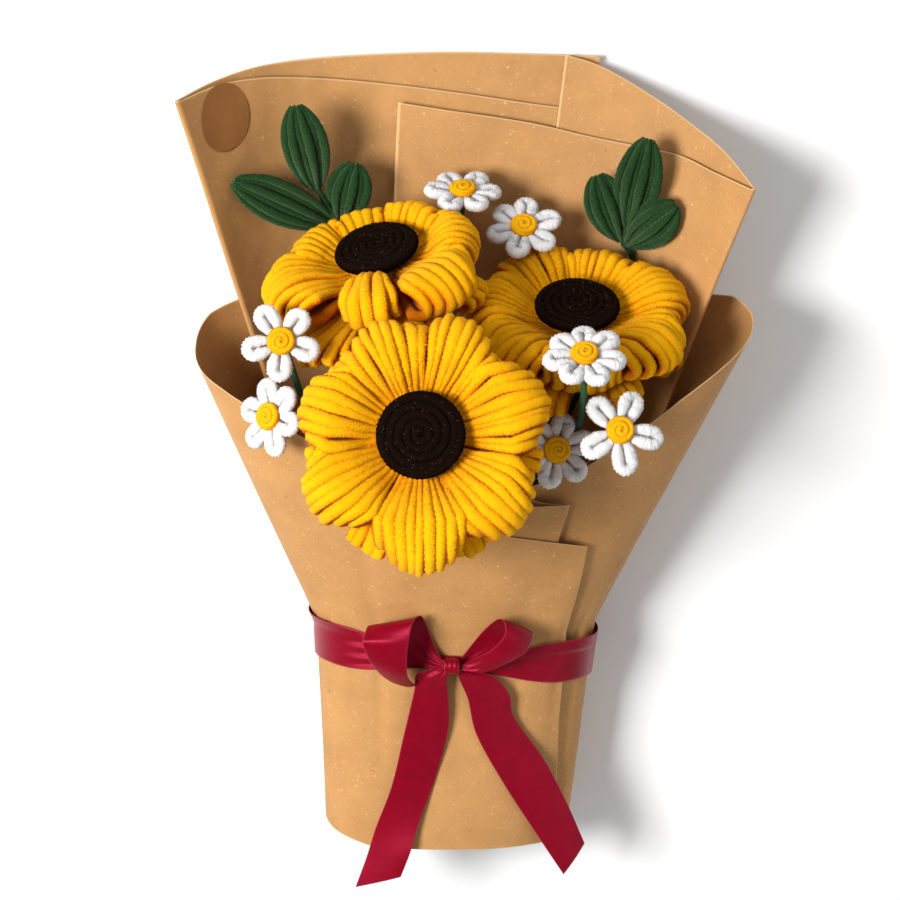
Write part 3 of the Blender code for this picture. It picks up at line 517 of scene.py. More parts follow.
def satin(name):
    # Satin: fine ribs across the ribbon, a slight grain, a soft strong gloss and a painted highlight along the
    # edges, broken into pale threads
    look, (finish, tree, shader) = satinLook, newMaterial(name)
    grain = noise(tree, *look["grain"])
    cloud = spread(tree, noise(tree, *look["cloud"]), 0.3, 0.7)
    colour = mixColour(tree, cloud, look["dark"], look["light"])
    threads = spread(tree, stripes(tree, "X", *look["threads"]), *look["threadEdge"])
    # Painted highlight along the ribbon's edges, broken into threads
    colour = mixColour(tree, times(tree, paintedLightOf(tree), threads), colour, look["edgeHighlight"])
    height = plus(tree, times(tree, stripes(tree, "Y", *look["ribs"]), look["ribHeight"]),
                  times(tree, grain, look["grainHeight"]))
    bumped(tree, height, *look["bump"], shader)
    feed(tree, shader, {"Base Color": colour, "Roughness": spread(tree, grain, *look["roughness"]),
                        "Specular IOR Level": look["specular"], "Specular Tint": look["tint"]})
    return finish


foamLook = {"dark": (0.045, 0.11, 0.045, 1), "light": (0.12, 0.24, 0.10, 1), "cells": (1400.0, 3.0, 0.7),
            "bump": (0.8, 0.0008), "roughness": 0.95}


def foamFinish(name):
    # Florist's foam: fine cells of noise between two greens
    look, (finish, tree, shader) = foamLook, newMaterial(name)
    cells = noise(tree, *look["cells"])
    colour = mixColour(tree, spread(tree, cells, 0.3, 0.7), look["dark"], look["light"])
    feed(tree, shader, {"Base Color": colour, "Roughness": look["roughness"]})
    bumped(tree, cells, *look["bump"], shader)
    return finish


# Kraft paper wrap

wrap = {
    "halfWidth": 79.5, "halfDepth": 38.0, "roundness": 2.3,
    "bendUp": 17.0, "sleeveTaper": 0.0009, "coneTaper": 0.00535,
    "flatFrom": 248.0,  # the outline is flat from here round its back
    "bottom": -112.0, "paper": 0.35, "middle": (3.5, 0.035, 0.045),  # x, and its drift above and below
    "span": (64, 427), "columns": (12, 190, 70),  # angles of the wall; columns of edge, wall and pleat
    "edgeHead": (74, 78),
    "freeEdge": ((-112.0, 30.0), (-36.0, 39.0), (12.0, 41.0), (74.0, 51.0)),  # (up, angle)
    "heads": ((30, 74), (51, 74), (64, 78), (79, 83), (95, 104), (110, 122), (125, 139), (140, 154),
              (155, 165), (170, 172), (186, 181), (204, 193), (222, 200), (248, 198), (292, 198), (316, 201),
              (336, 203), (352, 197), (364, 190), (381, 177), (396, 160), (410, 139), (420, 123), (427, 117)),
    "feet": ((30, -112), (125, -112), (155, -106), (170, -102.5), (186, -104), (222, -112), (450, -112)),
    "depths": ((360, 0.0), (381, 1.6), (390, 3.2), (410, 4.6), (420, 7.5), (427, 11.0)),
    "pleat": ((431, 12.6, 113), (435, 11.4, 110), (436, 9.2, 107), (434, 7.0, 104), (430, 5.2, 102),
              (424.5, 4.4, 101), (422.8, 3.9, 101), (422.3, 3.1, 101), (422.8, 2.3, 101), (424.5, 1.9, 101),
              (439, 1.9, 101), (448, 1.9, 101)),
    "lift": ((-25.0, 0.0), (-13.0, 1.5), (16.0, 1.5), (34.0, 0.0)),  # the tie pinches the back up
    "rows": 84,
    "tie": 4.0, "wave": 0.35,
    "creases": ((67, 3.5, 1.0, 40), (83, 3.0, 0.9, 28), (101, 4.5, 1.3, 45), (119, 2.6, 1.3, 55),
                (134, 3.5, 1.0, 34), (151, 4.0, 1.3, 30), (168, 4.0, 0.8, 40), (12, 4.0, 1.0, 40),
                (28, 3.0, 1.1, 30), (44, 3.5, 1.0, 40), (345, 6.0, 0.8, 40),
                (205, 7.0, 0.9, 40)),  # angle, width, depth, reach along
}


def table(rows, at):
    # Straight lines between the table's pairs
    return np.interp(at, [a for a, _ in rows], [b for _, b in rows])


def wrapUnit(angle):
    # A squared-off circle: cosine and sine each raised to 2 / roundness, cut flat at the back
    power = 2 / wrap["roundness"]
    c, s = np.cos(np.radians(angle)), np.sin(np.radians(angle))
    lowest = 1 - abs(math.sin(math.radians(wrap["flatFrom"]))) ** power
    height = 1 + np.sign(s) * np.abs(s) ** power
    return np.sign(c) * np.abs(c) ** power, np.maximum(0, height - lowest) * 2 / (2 - lowest)


def wrapPoint(angle, up, depth):
    # The outline grown by the taper, moved inwards by depth along its own normal, and lifted at the tie
    angle, up, depth = np.broadcast_arrays(np.asarray(angle, float), up, depth)
    x, z = wrapUnit(angle)
    ax, az = wrapUnit(angle - 1.5)
    bx, bz = wrapUnit(angle + 1.5)
    stepX, stepZ = -(bz - az) * wrap["halfDepth"], (bx - ax) * wrap["halfWidth"]
    size = np.maximum(np.hypot(stepX, stepZ), 1e-9)
    above = up - wrap["bendUp"]
    grow = np.where(above > 0, 1 + above * wrap["coneTaper"], 1 + above * wrap["sleeveTaper"])
    centre, driftAbove, driftBelow = wrap["middle"]
    middle = centre + above * np.where(above > 0, driftAbove, driftBelow)
    return np.stack([middle + x * wrap["halfWidth"] * grow + stepX / size * depth, up,
                     z * wrap["halfDepth"] * grow + stepZ / size * depth + table(wrap["lift"], up)], axis=-1)


def dents(angle, up):
    # The tie gathers the paper: each crease is deepest at the tie and fades with distance along and around,
    # and broad low waves run over the rest
    angle = angle % 360
    total = wrap["wave"] * np.sin(np.radians(angle * 5) + up * 0.021) * np.clip(np.abs(up) / 60, 0, 1)
    for place, width, deep, reach in wrap["creases"]:
        along = np.exp(-((up - wrap["tie"]) / reach) ** 2)
        total = total + deep * np.exp(-((angle - place) / width) ** 2) * along
    return total + wrap["wave"]


def outerWrap():
    # Columns run from the free edge round the bouquet to the pleat: each has an angle, depth, foot and head
    edges, walls, pleats = wrap["columns"]
    start, end = wrap["span"]
    first, last = wrap["edgeHead"]
    rise = rimmed(wrap["rows"])
    columns = []
    for share in np.concatenate([[0, 0.02], np.linspace(0, 1, edges, endpoint=False)[1:]]):
        up = wrap["bottom"] + (first + (last - first) * share - wrap["bottom"]) * rise
        edge = table(wrap["freeEdge"], up)
        columns.append((edge + (start - edge) * share, up, 0.0))
    plan = [(angle, *(table(wrap[key], angle) for key in ("depths", "heads", "feet")))
            for angle in np.linspace(start, end, walls)]
    pleat = smoothLine([(end, 11.0, 117.0), *wrap["pleat"]], pleats)[1:]
    for angle, depth, head, foot in plan + [(*column, wrap["bottom"]) for column in pleat]:
        columns.append((angle, foot + (head - foot) * rise, depth))
    angle, up, depth = (np.stack([np.broadcast_to(value, rise.shape) for value in part])
                        for part in zip(*columns))
    depth = depth + dents(angle, up)
    return wrapPoint(angle, up, depth), wrapPoint(angle, up, depth + wrap["paper"])


# Folded sheets behind the flowers

sheets = {
    "apex": -212.0, "top": 312.0, "left": (146.0, 62.0), "right": (182.0, 72.0), "curve": 3.4,
    "foot": -13.0, "first": 1.2, "foldGap": 2.2, "cadPaper": 0.8, "paper": 0.35,
    "leftOuter": ((0.44, 331), (0.25, 332), (0.0, 333), (-0.25, 332), (-0.5, 330), (-0.7, 327), (-0.86, 321),
                  (-1.0, 313)),
    "leftInner": ((0.40, 302), (0.25, 305), (0.0, 311.5), (-0.25, 316), (-0.5, 319.5), (-0.7, 321),
                  (-0.86, 319), (-1.0, 313)),
    "rightOuter": ((0.34, 332), (0.45, 326), (0.62, 311), (0.76, 297), (0.88, 284), (1.0, 267)),
    "rightInner": ((-0.20, 306), (0.0, 301.5), (0.25, 295), (0.45, 288), (0.62, 283.5), (0.76, 280),
                   (0.88, 273), (1.0, 267)),
    "rightEdge": ((150.0, -0.33), (306.0, -0.20)), "edgeBlend": 0.2,
    "rows": 70, "columns": 90, "foldColumns": 11, "foldTurn": 80, "foldOut": 1.5,
}


def troughPoint(share, up, height):
    # A trough that narrows to its apex: z = rise * share ** curve, then height along its own normal
    share, up, height = np.broadcast_arrays(np.asarray(share, float), up, height)
    grow = (up - sheets["apex"]) / (sheets["top"] - sheets["apex"])
    half = np.where(share < 0, sheets["left"][0], sheets["right"][0])
    rise = np.where(share < 0, sheets["left"][1], sheets["right"][1])
    curve = sheets["curve"]
    slope = np.sign(share) * curve * rise / half * np.abs(share) ** (curve - 1)
    size = np.hypot(slope, 1.0)
    return np.stack([half * share * grow - slope / size * height, up,
                     rise * np.abs(share) ** curve * grow + height / size + table(wrap["lift"], up)], axis=-1)


def sheetWave(share, up):
    # Two low crossing waves over a sheet
    return 0.3 * np.sin(up * 0.045 + share * 5) + 0.25 * np.sin(up * 0.023 - share * 9)


def foldedSheet(outer, inner, level, edge=None):
    # The outer layer to the fold, half a turn round it, and the inner layer back to its free edge
    outer, inner = np.array(outer), np.array(inner)
    side = math.copysign(1.0, outer[-1][0])
    half = sheets["left"][0] if side < 0 else sheets["right"][0]
    rise = rimmed(sheets["rows"])
    parts = []

    def column(share, height, head):
        up = sheets["foot"] + (head - sheets["foot"]) * rise
        across = np.broadcast_to(share(up) if callable(share) else share, up.shape)
        parts.append((across, up, height + sheetWave(across, up) * np.clip((up - 20) / 60, 0, 1)))

    even = np.array([half, 1.0])
    for share, head in smoothLine(outer * even, sheets["columns"]) / even:
        column(share, level, head)
    gap = sheets["foldGap"] + sheets["cadPaper"]
    for turn in np.radians(np.linspace(-sheets["foldTurn"], sheets["foldTurn"], sheets["foldColumns"])):
        column(outer[-1][0] + side * sheets["foldOut"] * math.cos(turn) / half,
               level + gap / 2 + gap / 2 * math.sin(turn), outer[-1][1])
    for share, head in smoothLine(inner[::-1] * even, sheets["columns"]) / even:
        if edge:
            near = max(0.0, 1 - (share - inner[0][0]) / sheets["edgeBlend"])
            column(lambda up: share + (table(edge, up) - inner[0][0]) * near, level + gap, head)
        else:
            column(share, level + gap, head)
    share, up, height = (np.stack(part) for part in zip(*parts))
    middle = troughPoint(share, up, height)
    across, down = np.gradient(middle, axis=0), np.gradient(middle, axis=1)
    normal = unit(np.cross(across, down)) * (sheets["paper"] / 2) * (-side)
    return middle + normal, middle - normal


sticker = {"share": -0.875, "up": 301.5, "radius": 18.3, "thick": 0.12, "gap": 0.12,
           "lineSteps": 400, "grid": 41}


def stickerShape():
    # A disc laid on the left sheet: a square grid eased into a circle,
    # x = u * sqrt(1 - v * v / 2) and so for y
    shares = np.linspace(-1, 0, sticker["lineSteps"])
    along = travelled(troughPoint(shares, sticker["up"], 0.0))
    start = np.interp(sticker["share"], shares, along)
    u, v = np.meshgrid(*[np.linspace(-1, 1, sticker["grid"])] * 2, indexing="ij")
    up = sticker["up"] + sticker["radius"] * v * np.sqrt(1 - u * u / 2)
    share = np.interp(start + sticker["radius"] * u * np.sqrt(1 - v * v / 2), along, shares)
    share = share * (sticker["up"] - sheets["apex"]) / (up - sheets["apex"])
    gaps = sheets["foldGap"] + sheets["cadPaper"] + sheets["paper"] / 2 + sticker["gap"]
    level = sheets["first"] + gaps + sheetWave(share, up)
    top = troughPoint(share, up, level + sticker["thick"])
    label = sheetShape(top, troughPoint(share, up, level))
    # No painted highlight on the sticker's rim
    label["paintedLight"][:] = 0
    return label


# Flowers

sunflowers = {
    "front": {
        "middle": (-15.0, 156.2, 168.0), "faces": (0.0, 0.358, 0.934),
        "petals": ((69, 63, 19), (111, 61, 20), (162, 62, 23), (213, 65, 23), (270, 68, 24), (319, 66, 22),
                   (17, 66, 24)),
        "behind": ((42, 58, 15), (89, 55, 15), (137, 58, 15), (187, 58, 15), (242, 65, 16), (296, 64, 15),
                   (348, 61, 15)),
        "via": (), "hole": (-6.0, 38.0)},
    "left": {
        "middle": (-39.3, 236.2, 76.0), "faces": (-0.204, 0.887, 0.413),
        "petals": ((6, 52, 22), (55, 43, 23), (103, 41, 22), (152, 50, 22), (203, 64, 23), (264, 52, 22),
                   (317, 60, 23)),
        "behind": ((31, 43, 14), (79, 38, 14), (128, 42, 14), (177, 52, 15), (229, 68, 17), (288, 56, 16),
                   (342, 56, 14)),
        "via": ((-33.0, 150.0, 45.0),), "hole": (-28.0, 26.0)},
    "right": {
        "middle": (67.8, 206.0, 80.0), "faces": (0.0, 0.891, 0.454),
        "petals": ((18, 61, 22), (70, 55, 21), (121, 59, 21), (172, 57, 22), (222, 60, 22), (272, 54, 22),
                   (324, 60, 22)),
        "behind": ((44, 46, 14), (96, 45, 14), (146, 52, 14), (197, 54, 15), (247, 58, 15), (298, 58, 15),
                   (351, 57, 14)),
        "via": ((54.0, 130.0, 50.0),), "hole": (26.0, 27.0)},
}
petalForms = {  # profile: share of the reach, height; roots: height at root, rise, rise and root again
    "front": {
        "profile": ((0.30, -1.4), (0.60, 1.6), (0.87, -1.6), (1.0, -8.5), (0.93, -14.5), (0.62, -17.2)),
        "roots": (-9.5, -7.0, -16.6, -14.0), "crown": 2.6, "spread": 2.6, "pitch": 5.6, "tall": 2.7,
        "rings": 84},
    "back": {
        "profile": ((0.50, -23.8), (0.80, -24.6), (1.0, -28.5), (0.84, -32.0)),
        "roots": (-22.0, -23.6, -32.5, -30.0), "crown": 1.6, "spread": 0.0, "pitch": 5.4, "tall": 2.4,
        "rings": 50},
}
petalSizes = {
    "root": 15.0, "rise": 26.0, "halfWidth": 23.0, "tipRounding": 0.33, "pile": 0.06, "sides": 8,
    "overlap": 1.22,  # how far neighbouring rows sink into each other
    "tilt": 1.9, "level": 0.8,  # chance from petal to petal
    "rowShare": (0.75, 1.25), "rowLevel": 0.4, "rowEnd": (-1.3, 0.9),  # and from row to row
    "heave": 0.7, "sway": 1.15,
    "fuzz": (7000, 1.3, 0.085),  # count, length and thickness of the loose fibres
}
petalLifts = {("left", 264): (0.72, 8.0)}  # how narrow this petal is, and how far it arches over the disc
disc = {"radius": 23.0, "strand": 2.8, "pitch": 4.4, "head": -0.4, "dome": 1.5, "rings": 420, "sides": 12,
        "pile": 0.07, "fuzz": (2200, 1.0, 0.07)}
lint = {"count": 64, "reach": 0.93, "length": (0.7, 2.4), "bend": 1.8, "rise": (0.1, 0.7), "radius": 0.08,
        "steps": 6}
# The underside coil gets half the painted light: painted shade under the sunflower head
hub = {"profile": ((18.0, -7.0), (16.5, -20.0), (12.0, -33.0), (4.0, -36.5)), "strand": 2.9, "turns": 9,
       "rings": 460, "sides": 8, "pile": 0.05, "paintedLight": 0.5}
coilEnd = {"extra": 0.8, "turns": 0.45, "drop": 1.2, "thinner": 0.35}  # how the last turn tucks under


def flowerAxes(faces):
    # The flower's right, up and facing directions
    out = unit(np.array(faces, float))
    right = unit(np.array([1.0, 0, 0]) - out * out[0])
    return right, np.cross(out, right), out


def rayAt(axes, turn):
    # The direction across the flower at a turn: right * cos(turn) + up * sin(turn)
    return np.cos(turn)[..., None] * axes[0] + np.sin(turn)[..., None] * axes[1]


def petalStrands(middle, axes, spoke, form, narrow=1.0, lift=0.0):
    # Strands side by side along the petal's line: reach less a rounding of the tip, spread by the fan's width
    angle, length, halfAngle = spoke
    out, ray = axes[2], rayAt(axes, math.radians(angle))
    side = np.cross(out, ray)
    size = petalSizes
    root, rise, roots = size["root"], size["rise"], form["roots"]
    line = smoothLine([(root, roots[0]), (rise, roots[1]),
                       *((rise + share * (length - rise), z) for share, z in form["profile"]),
                       (rise, roots[2]), (root, roots[3])], form["rings"])
    reach, high = line.T
    way = unit(np.gradient(line, axis=0))
    free = np.clip((reach - root) / (length - root), 0, 1)
    high = high + lift * np.exp(-((reach - 27) / 9) ** 2) * (np.arange(len(reach)) < 0.5 * len(reach))
    fan = math.tan(math.radians(halfAngle * narrow + form["spread"]))
    width = np.minimum(reach * fan, size["halfWidth"] * narrow) * (1.06 - 0.17 * free ** 4)
    count = max(4, round(2 * width.max() / form["pitch"]))
    cuts = np.cumsum(rng.uniform(*size["rowShare"], count + 1))
    cuts = 2 * (cuts - cuts[0]) / (cuts[-1] - cuts[0]) - 1
    t = ((cuts[1:] + cuts[:-1]) / 2)[:, None]
    share = (cuts[1:] - cuts[:-1])[:, None] / 2
    shape = (count, form["rings"])
    tilt, level = rng.uniform(-size["tilt"], size["tilt"]), rng.uniform(-size["level"], size["level"])
    step = -form["crown"] * t ** 2 + wander(shape, 4, size["heave"]) * free
    step = step + rng.uniform(-size["rowLevel"], size["rowLevel"], (count, 1))
    step = step + (tilt * t + level) * np.minimum(1, 2 * free)
    out2 = reach - way[:, 1] * step - size["tipRounding"] * np.maximum(0, reach - rise) * np.abs(t) ** 2.6
    out2 = out2 + rng.uniform(*size["rowEnd"], (count, 1)) * free
    drift = wander(shape, 4, size["sway"]) * np.minimum(1, 3 * free * (1 - 0.6 * free))
    paths = (middle + out2[..., None] * ray + (width * t + drift)[..., None] * side
             + (high + way[:, 0] * step)[..., None] * out)
    normals = -way[:, 1, None] * ray + way[:, 0, None] * out
    wide = width * share * size["overlap"] + 0.2
    tall = form["tall"] * (0.72 + 0.28 * np.clip(width * share / 2.6, 0, 1))
    # Painted shade: the petal's painted light falls to 0.35 at the root by the disc and to a quarter where the
    # loop runs below its return at the rise
    lightShare = (0.35 + 0.65 * np.clip(free * 1.7, 0, 1)) * (0.25 + 0.75 * (high > roots[2]))
    return tubes(paths, normals, wide, tall, size["sides"], size["pile"], lightShare)


def coil(middle, axes, plan):
    # A spiral from the middle, radius = pitch * turns up to the rim, whose last turn runs on and tucks under
    outer = plan["radius"] - plan["strand"]
    turns = outer / plan["pitch"] + coilEnd["extra"]
    turn = 2 * np.pi * turns * np.linspace(0, 1, plan["rings"]) ** 0.6
    radius = np.minimum(plan["pitch"] * turn / (2 * np.pi), outer)
    last = np.clip((turn / (2 * np.pi) - turns + coilEnd["turns"]) / coilEnd["turns"], 0, 1)
    high = plan["head"] + plan["dome"] * (1 - (radius / plan["radius"]) ** 2) - coilEnd["drop"] * last
    paths = middle + radius[:, None] * rayAt(axes, turn) + high[:, None] * axes[2]
    size = plan["strand"] * (1 - coilEnd["thinner"] * last)
    return tubes(paths[None], axes[2], size * 1.02, size, plan["sides"], plan["pile"])


def hubCoil(middle, axes, plan):
    # The underside: strand wound round the axis while its radius and height follow the profile, its painted
    # light cut to the plan's share, which paints shade under the head
    radius, high = smoothLine(plan["profile"], plan["rings"]).T
    radius = np.maximum(radius - plan["strand"] * 0.6, 0.5)
    ray = rayAt(axes, 2 * np.pi * plan["turns"] * np.linspace(0, 1, plan["rings"]))
    paths = middle + radius[:, None] * ray + high[:, None] * axes[2]
    return tubes(paths[None], ray, plan["strand"], plan["strand"], plan["sides"], plan["pile"], plan["paintedLight"])


def lintStrands(middle, axes):
    # Short curled fibres scattered over the disc
    right, up, out = axes
    count = lint["count"]
    radius = disc["radius"] * lint["reach"] * np.sqrt(rng.uniform(0, 1, count))
    turn = rng.uniform(0, 2 * np.pi, count)
    high = disc["head"] + disc["strand"] * 0.97 + disc["dome"] * (1 - (radius / disc["radius"]) ** 2)
    start = middle + radius[:, None] * rayAt(axes, turn) + high[:, None] * out
    heading, length = rng.uniform(0, 2 * np.pi, count), rng.uniform(*lint["length"], count)
    s = np.linspace(0, 1, lint["steps"] + 1)
    bend = heading[:, None] + rng.uniform(-lint["bend"], lint["bend"], (count, 1)) * s
    step = length[:, None] / lint["steps"]
    x, y = np.cumsum(np.cos(bend) * step, axis=1), np.cumsum(np.sin(bend) * step, axis=1)
    z = rng.uniform(*lint["rise"], (count, 1)) * np.sin(np.pi * s * 0.8) - 0.15
    paths = start[:, None] + x[..., None] * right + y[..., None] * up + z[..., None] * out
    return tubes(paths, out, lint["radius"] * (1.1 - s), lint["radius"] * (1.1 - s), 4)


foam = {"head": -26.0, "holeDepth": 45.0, "straight": 16.0, "bend": 14.0}
stems = {
    "sunflower": {"radius": 3.0, "neck": 14.0, "below": 37.0},  # below: start under the flower's middle
    "daisy": {"radius": 1.8, "neck": 8.0, "below": 5.3, "shifts": (0.0,)},
    "twin": {"radius": 1.05, "neck": 8.0, "below": 5.3, "shifts": (-1.04, 1.04)},  # two stems side by side
    "pile": 0.06, "sides": 10, "rings": (110, 30),
}


def stemRoute(bends, hole, shift=0.0):
    # Through the bends, then straight into the hole
    x, z = hole
    mouth = np.array([x + shift, foam["head"] + foam["straight"], z])
    foot = mouth - (0, foam["straight"] + foam["holeDepth"] - 0.5, 0)
    line = smoothLine([*bends, mouth + (0, foam["bend"], 0), mouth], stems["rings"][0])
    return np.vstack([line, smoothLine([mouth, foot], stems["rings"][1])[1:]])


def stemTube(route, radius):
    # A round strand along the route
    return tubes(route[None], np.array([0.3, 0.1, 1.0]), radius, radius, stems["sides"], stems["pile"])


def flowerStem(middle, out, plan, size, shift=0.0):
    # From below the flower's middle, straight along its neck, then by its bends to its hole
    start = middle - out * size["below"]
    route = stemRoute([start, start - out * size["neck"], *plan["via"]], plan["hole"], shift)
    return stemTube(route, size["radius"])


daisies = {
    1: {"middle": (-87.6, 194.7, 122.0), "faces": (0.0, 0.24, 0.97), "petals": 5, "turn": 53, "size": 0.84,
        "via": (), "hole": (-38.0, 39.0)},
    2: {"middle": (-94.5, 154.6, 123.0), "faces": (-0.58, 0.28, 0.76), "petals": 6, "turn": 98, "size": 0.84,
        "via": ((-86.0, 150.5, 102.0), (-80.0, 118.0, 68.0)), "hole": (-50.0, 36.0)},
    3: {"middle": (7.1, 261.4, 37.0), "faces": (0.0, 0.90, 0.43), "petals": 6, "turn": 60, "size": 0.84,
        "via": ((4.5, 226.0, 17.5), (1.0, 140.0, 15.5)), "hole": (-4.0, 17.0), "twin": True},
    4: {"middle": (40.3, 242.2, 42.0), "faces": (0.0, 0.75, 0.66), "petals": 6, "turn": 80, "size": 0.88,
        "via": ((37.0, 229.0, 22.0), (32.0, 205.0, 14.0), (22.0, 120.0, 15.5)), "hole": (12.0, 17.0)},
    5: {"middle": (69.0, 191.8, 142.0), "faces": (0.0, 0.80, 0.60), "petals": 7, "turn": 90, "size": 0.9,
        "via": ((69.0, 177.0, 137.5), (69.0, 161.0, 128.0), (67.5, 142.0, 98.0), (56.0, 95.0, 63.0)),
        "hole": (38.0, 39.0)},
    6: {"middle": (88.0, 151.2, 140.0), "faces": (0.12, 0.40, 0.91), "petals": 5, "turn": 64, "size": 0.97,
        "via": ((82.0, 132.0, 98.0), (70.0, 90.0, 66.0)), "hole": (50.0, 35.0)},
    7: {"middle": (56.7, 133.3, 110.0), "faces": (0.20, 0.30, 0.93), "petals": 6, "turn": 75, "size": 0.9,
        "via": ((44.0, 95.0, 70.0),), "hole": (25.0, 40.0)},
}
daisyPetal = {
    "loop": ((5.4, -1.9), (9.5, -2.9), (14.0, -3.35), (17.8, -3.0), (19.8, 0.0), (17.8, 3.0), (14.0, 3.35),
             (9.5, 2.9), (5.4, 1.9)),
    "wide": (1.9, 3.35), "tall": 2.9, "sink": 2.2, "arch": 1.0, "rings": 60, "sides": 12, "pile": 0.085,
    "turn": 4, "size": (0.95, 1.05), "tip": (-0.12, 0.10), "skew": (-0.10, 0.10),  # from petal to petal
    "fuzz": (2200, 1.0, 0.085),
}
eye = {"radius": 7.6, "strand": 1.75, "pitch": 2.7, "head": 0.6, "dome": 1.6, "rings": 150, "sides": 10,
       "pile": 0.05, "fuzz": (500, 0.6, 0.07)}
# The underside coil gets half the painted light: painted shade under the daisy head
daisyHub = {"profile": ((6.5, -1.6), (5.5, -3.6), (1.0, -4.6)), "strand": 1.8, "turns": 3, "rings": 90,
            "sides": 8, "pile": 0.05, "paintedLight": 0.5}


def daisyPetals(middle, axes, plan):
    # Each petal is one strand: out along one side of the loop, round its end and back
    out, form = axes[2], daisyPetal
    loop = smoothLine(form["loop"], form["rings"])
    start = form["loop"][0][0]
    shapes = []
    for k in range(plan["petals"]):
        turn = plan["turn"] + 360 * k / plan["petals"] + rng.uniform(-form["turn"], form["turn"])
        ray = rayAt(axes, math.radians(turn))
        side = np.cross(out, ray)
        size, tip, skew = (rng.uniform(*form[key]) for key in ("size", "tip", "skew"))
        reach = start + (loop[:, 0] * size * plan["size"] - start * plan["size"])
        arch = form["arch"] * np.sin(np.pi * np.clip((reach - 6) / 17, 0, 1))
        high = arch - form["sink"] + tip * (reach - 6) + loop[:, 1] * skew
        path = middle + reach[:, None] * ray + loop[:, 1, None] * side + high[:, None] * out
        near = np.clip((reach - 6) / 6, 0, 1)
        wide = form["wide"][0] + (form["wide"][1] - form["wide"][0]) * near
        tall = form["tall"] * (0.75 + 0.25 * near)
        shapes.append(tubes(path[None], out, wide, tall, form["sides"], form["pile"]))
    return merged(shapes + [hubCoil(middle, axes, daisyHub)])


leafSprays = {
    "left": {
        "via": ((-62.0, 222.0, 17.0), (-54.0, 110.0, 17.5)), "hole": (-42.0, 20.0),
        "leaves": (((-73.0, 260.0, 31.0), (-83.0, 308.0, 46.0), (0.1, -0.1, 1.0)),
                   ((-64.0, 240.0, 26.0), (-117.0, 268.0, 50.0), (0.3, -0.2, 0.9)),
                   ((-60.0, 242.0, 25.0), (-52.0, 275.0, 33.0), (0.0, -0.2, 1.0)))},
    "right": {
        "via": ((101.0, 222.0, 28.0), (96.5, 204.0, 26.9), (83.0, 170.0, 25.3), (66.0, 130.0, 21.0),
                (52.0, 90.0, 18.0)), "hole": (44.0, 20.0),
        "leaves": (((97.0, 240.0, 33.0), (107.0, 290.0, 45.0), (-0.1, -0.1, 1.0)),
                   ((94.0, 232.0, 29.0), (80.0, 269.0, 36.0), (0.0, -0.2, 1.0)),
                   ((97.0, 230.0, 30.0), (122.5, 254.0, 46.0), (-0.3, -0.2, 0.9)))},
}
leafForm = {"halfWidth": 12.3, "strands": 6, "arch": 3.0, "fold": 2.4, "ridge": 1.3, "tall": 2.2, "rings": 64,
            "heave": 0.5, "sway": 0.25, "sides": 8, "pile": 0.06, "fuzz": (2600, 1.1, 0.08)}


def leafStrands(base, tip, look):
    # Strands fan from the base and close at the tip: sideways = half-width * sine profile * share across
    form = leafForm
    base, tip = np.array(base, float), np.array(tip, float)
    ray = unit(tip - base)
    look = unit(np.array(look, float) - ray * np.dot(look, ray))
    side = np.cross(look, ray)
    s = np.linspace(0, 1, form["rings"])
    width = form["halfWidth"] * np.sin(np.pi * (0.03 + 0.95 * s) ** 1.15) ** 0.55
    count = form["strands"]
    t = ((2 * np.arange(count) + 1) / count - 1)[:, None]
    along = s * (1 - 0.035 * np.abs(t) ** 2) + 0.02 * t ** 2
    high = form["arch"] * np.sin(np.pi * s) - form["fold"] * t ** 2
    high = high + wander((count, len(s)), 4, form["heave"])
    high = high + form["ridge"] * (-1.0) ** np.arange(count)[:, None] * np.sin(np.pi * s) ** 0.5
    sideways = width * t + wander((count, len(s)), 4, form["sway"])
    paths = base + along[..., None] * (tip - base) + sideways[..., None] * side + high[..., None] * look
    tall = form["tall"] * (0.5 + 0.5 * width / width.max())
    return tubes(paths, look, width / count * 1.12 + 0.25, tall, form["sides"], form["pile"])


def leafSpray(plan):
    # The leaves, and one stalk from the top leaf through the lower two's joint to the hole
    shapes = [leafStrands(*blade) for blade in plan["leaves"]]
    joint = np.mean([blade[0] for blade in plan["leaves"][1:]], axis=0)
    top = np.array(plan["leaves"][0][0])
    top = top + unit(np.array(plan["leaves"][0][1]) - top) * 4
    route = stemRoute([top, joint * 0.6 + top * 0.4, joint, *plan["via"]], plan["hole"])
    return merged(shapes + [stemTube(route, stems["daisy"]["radius"])])


# Ribbon

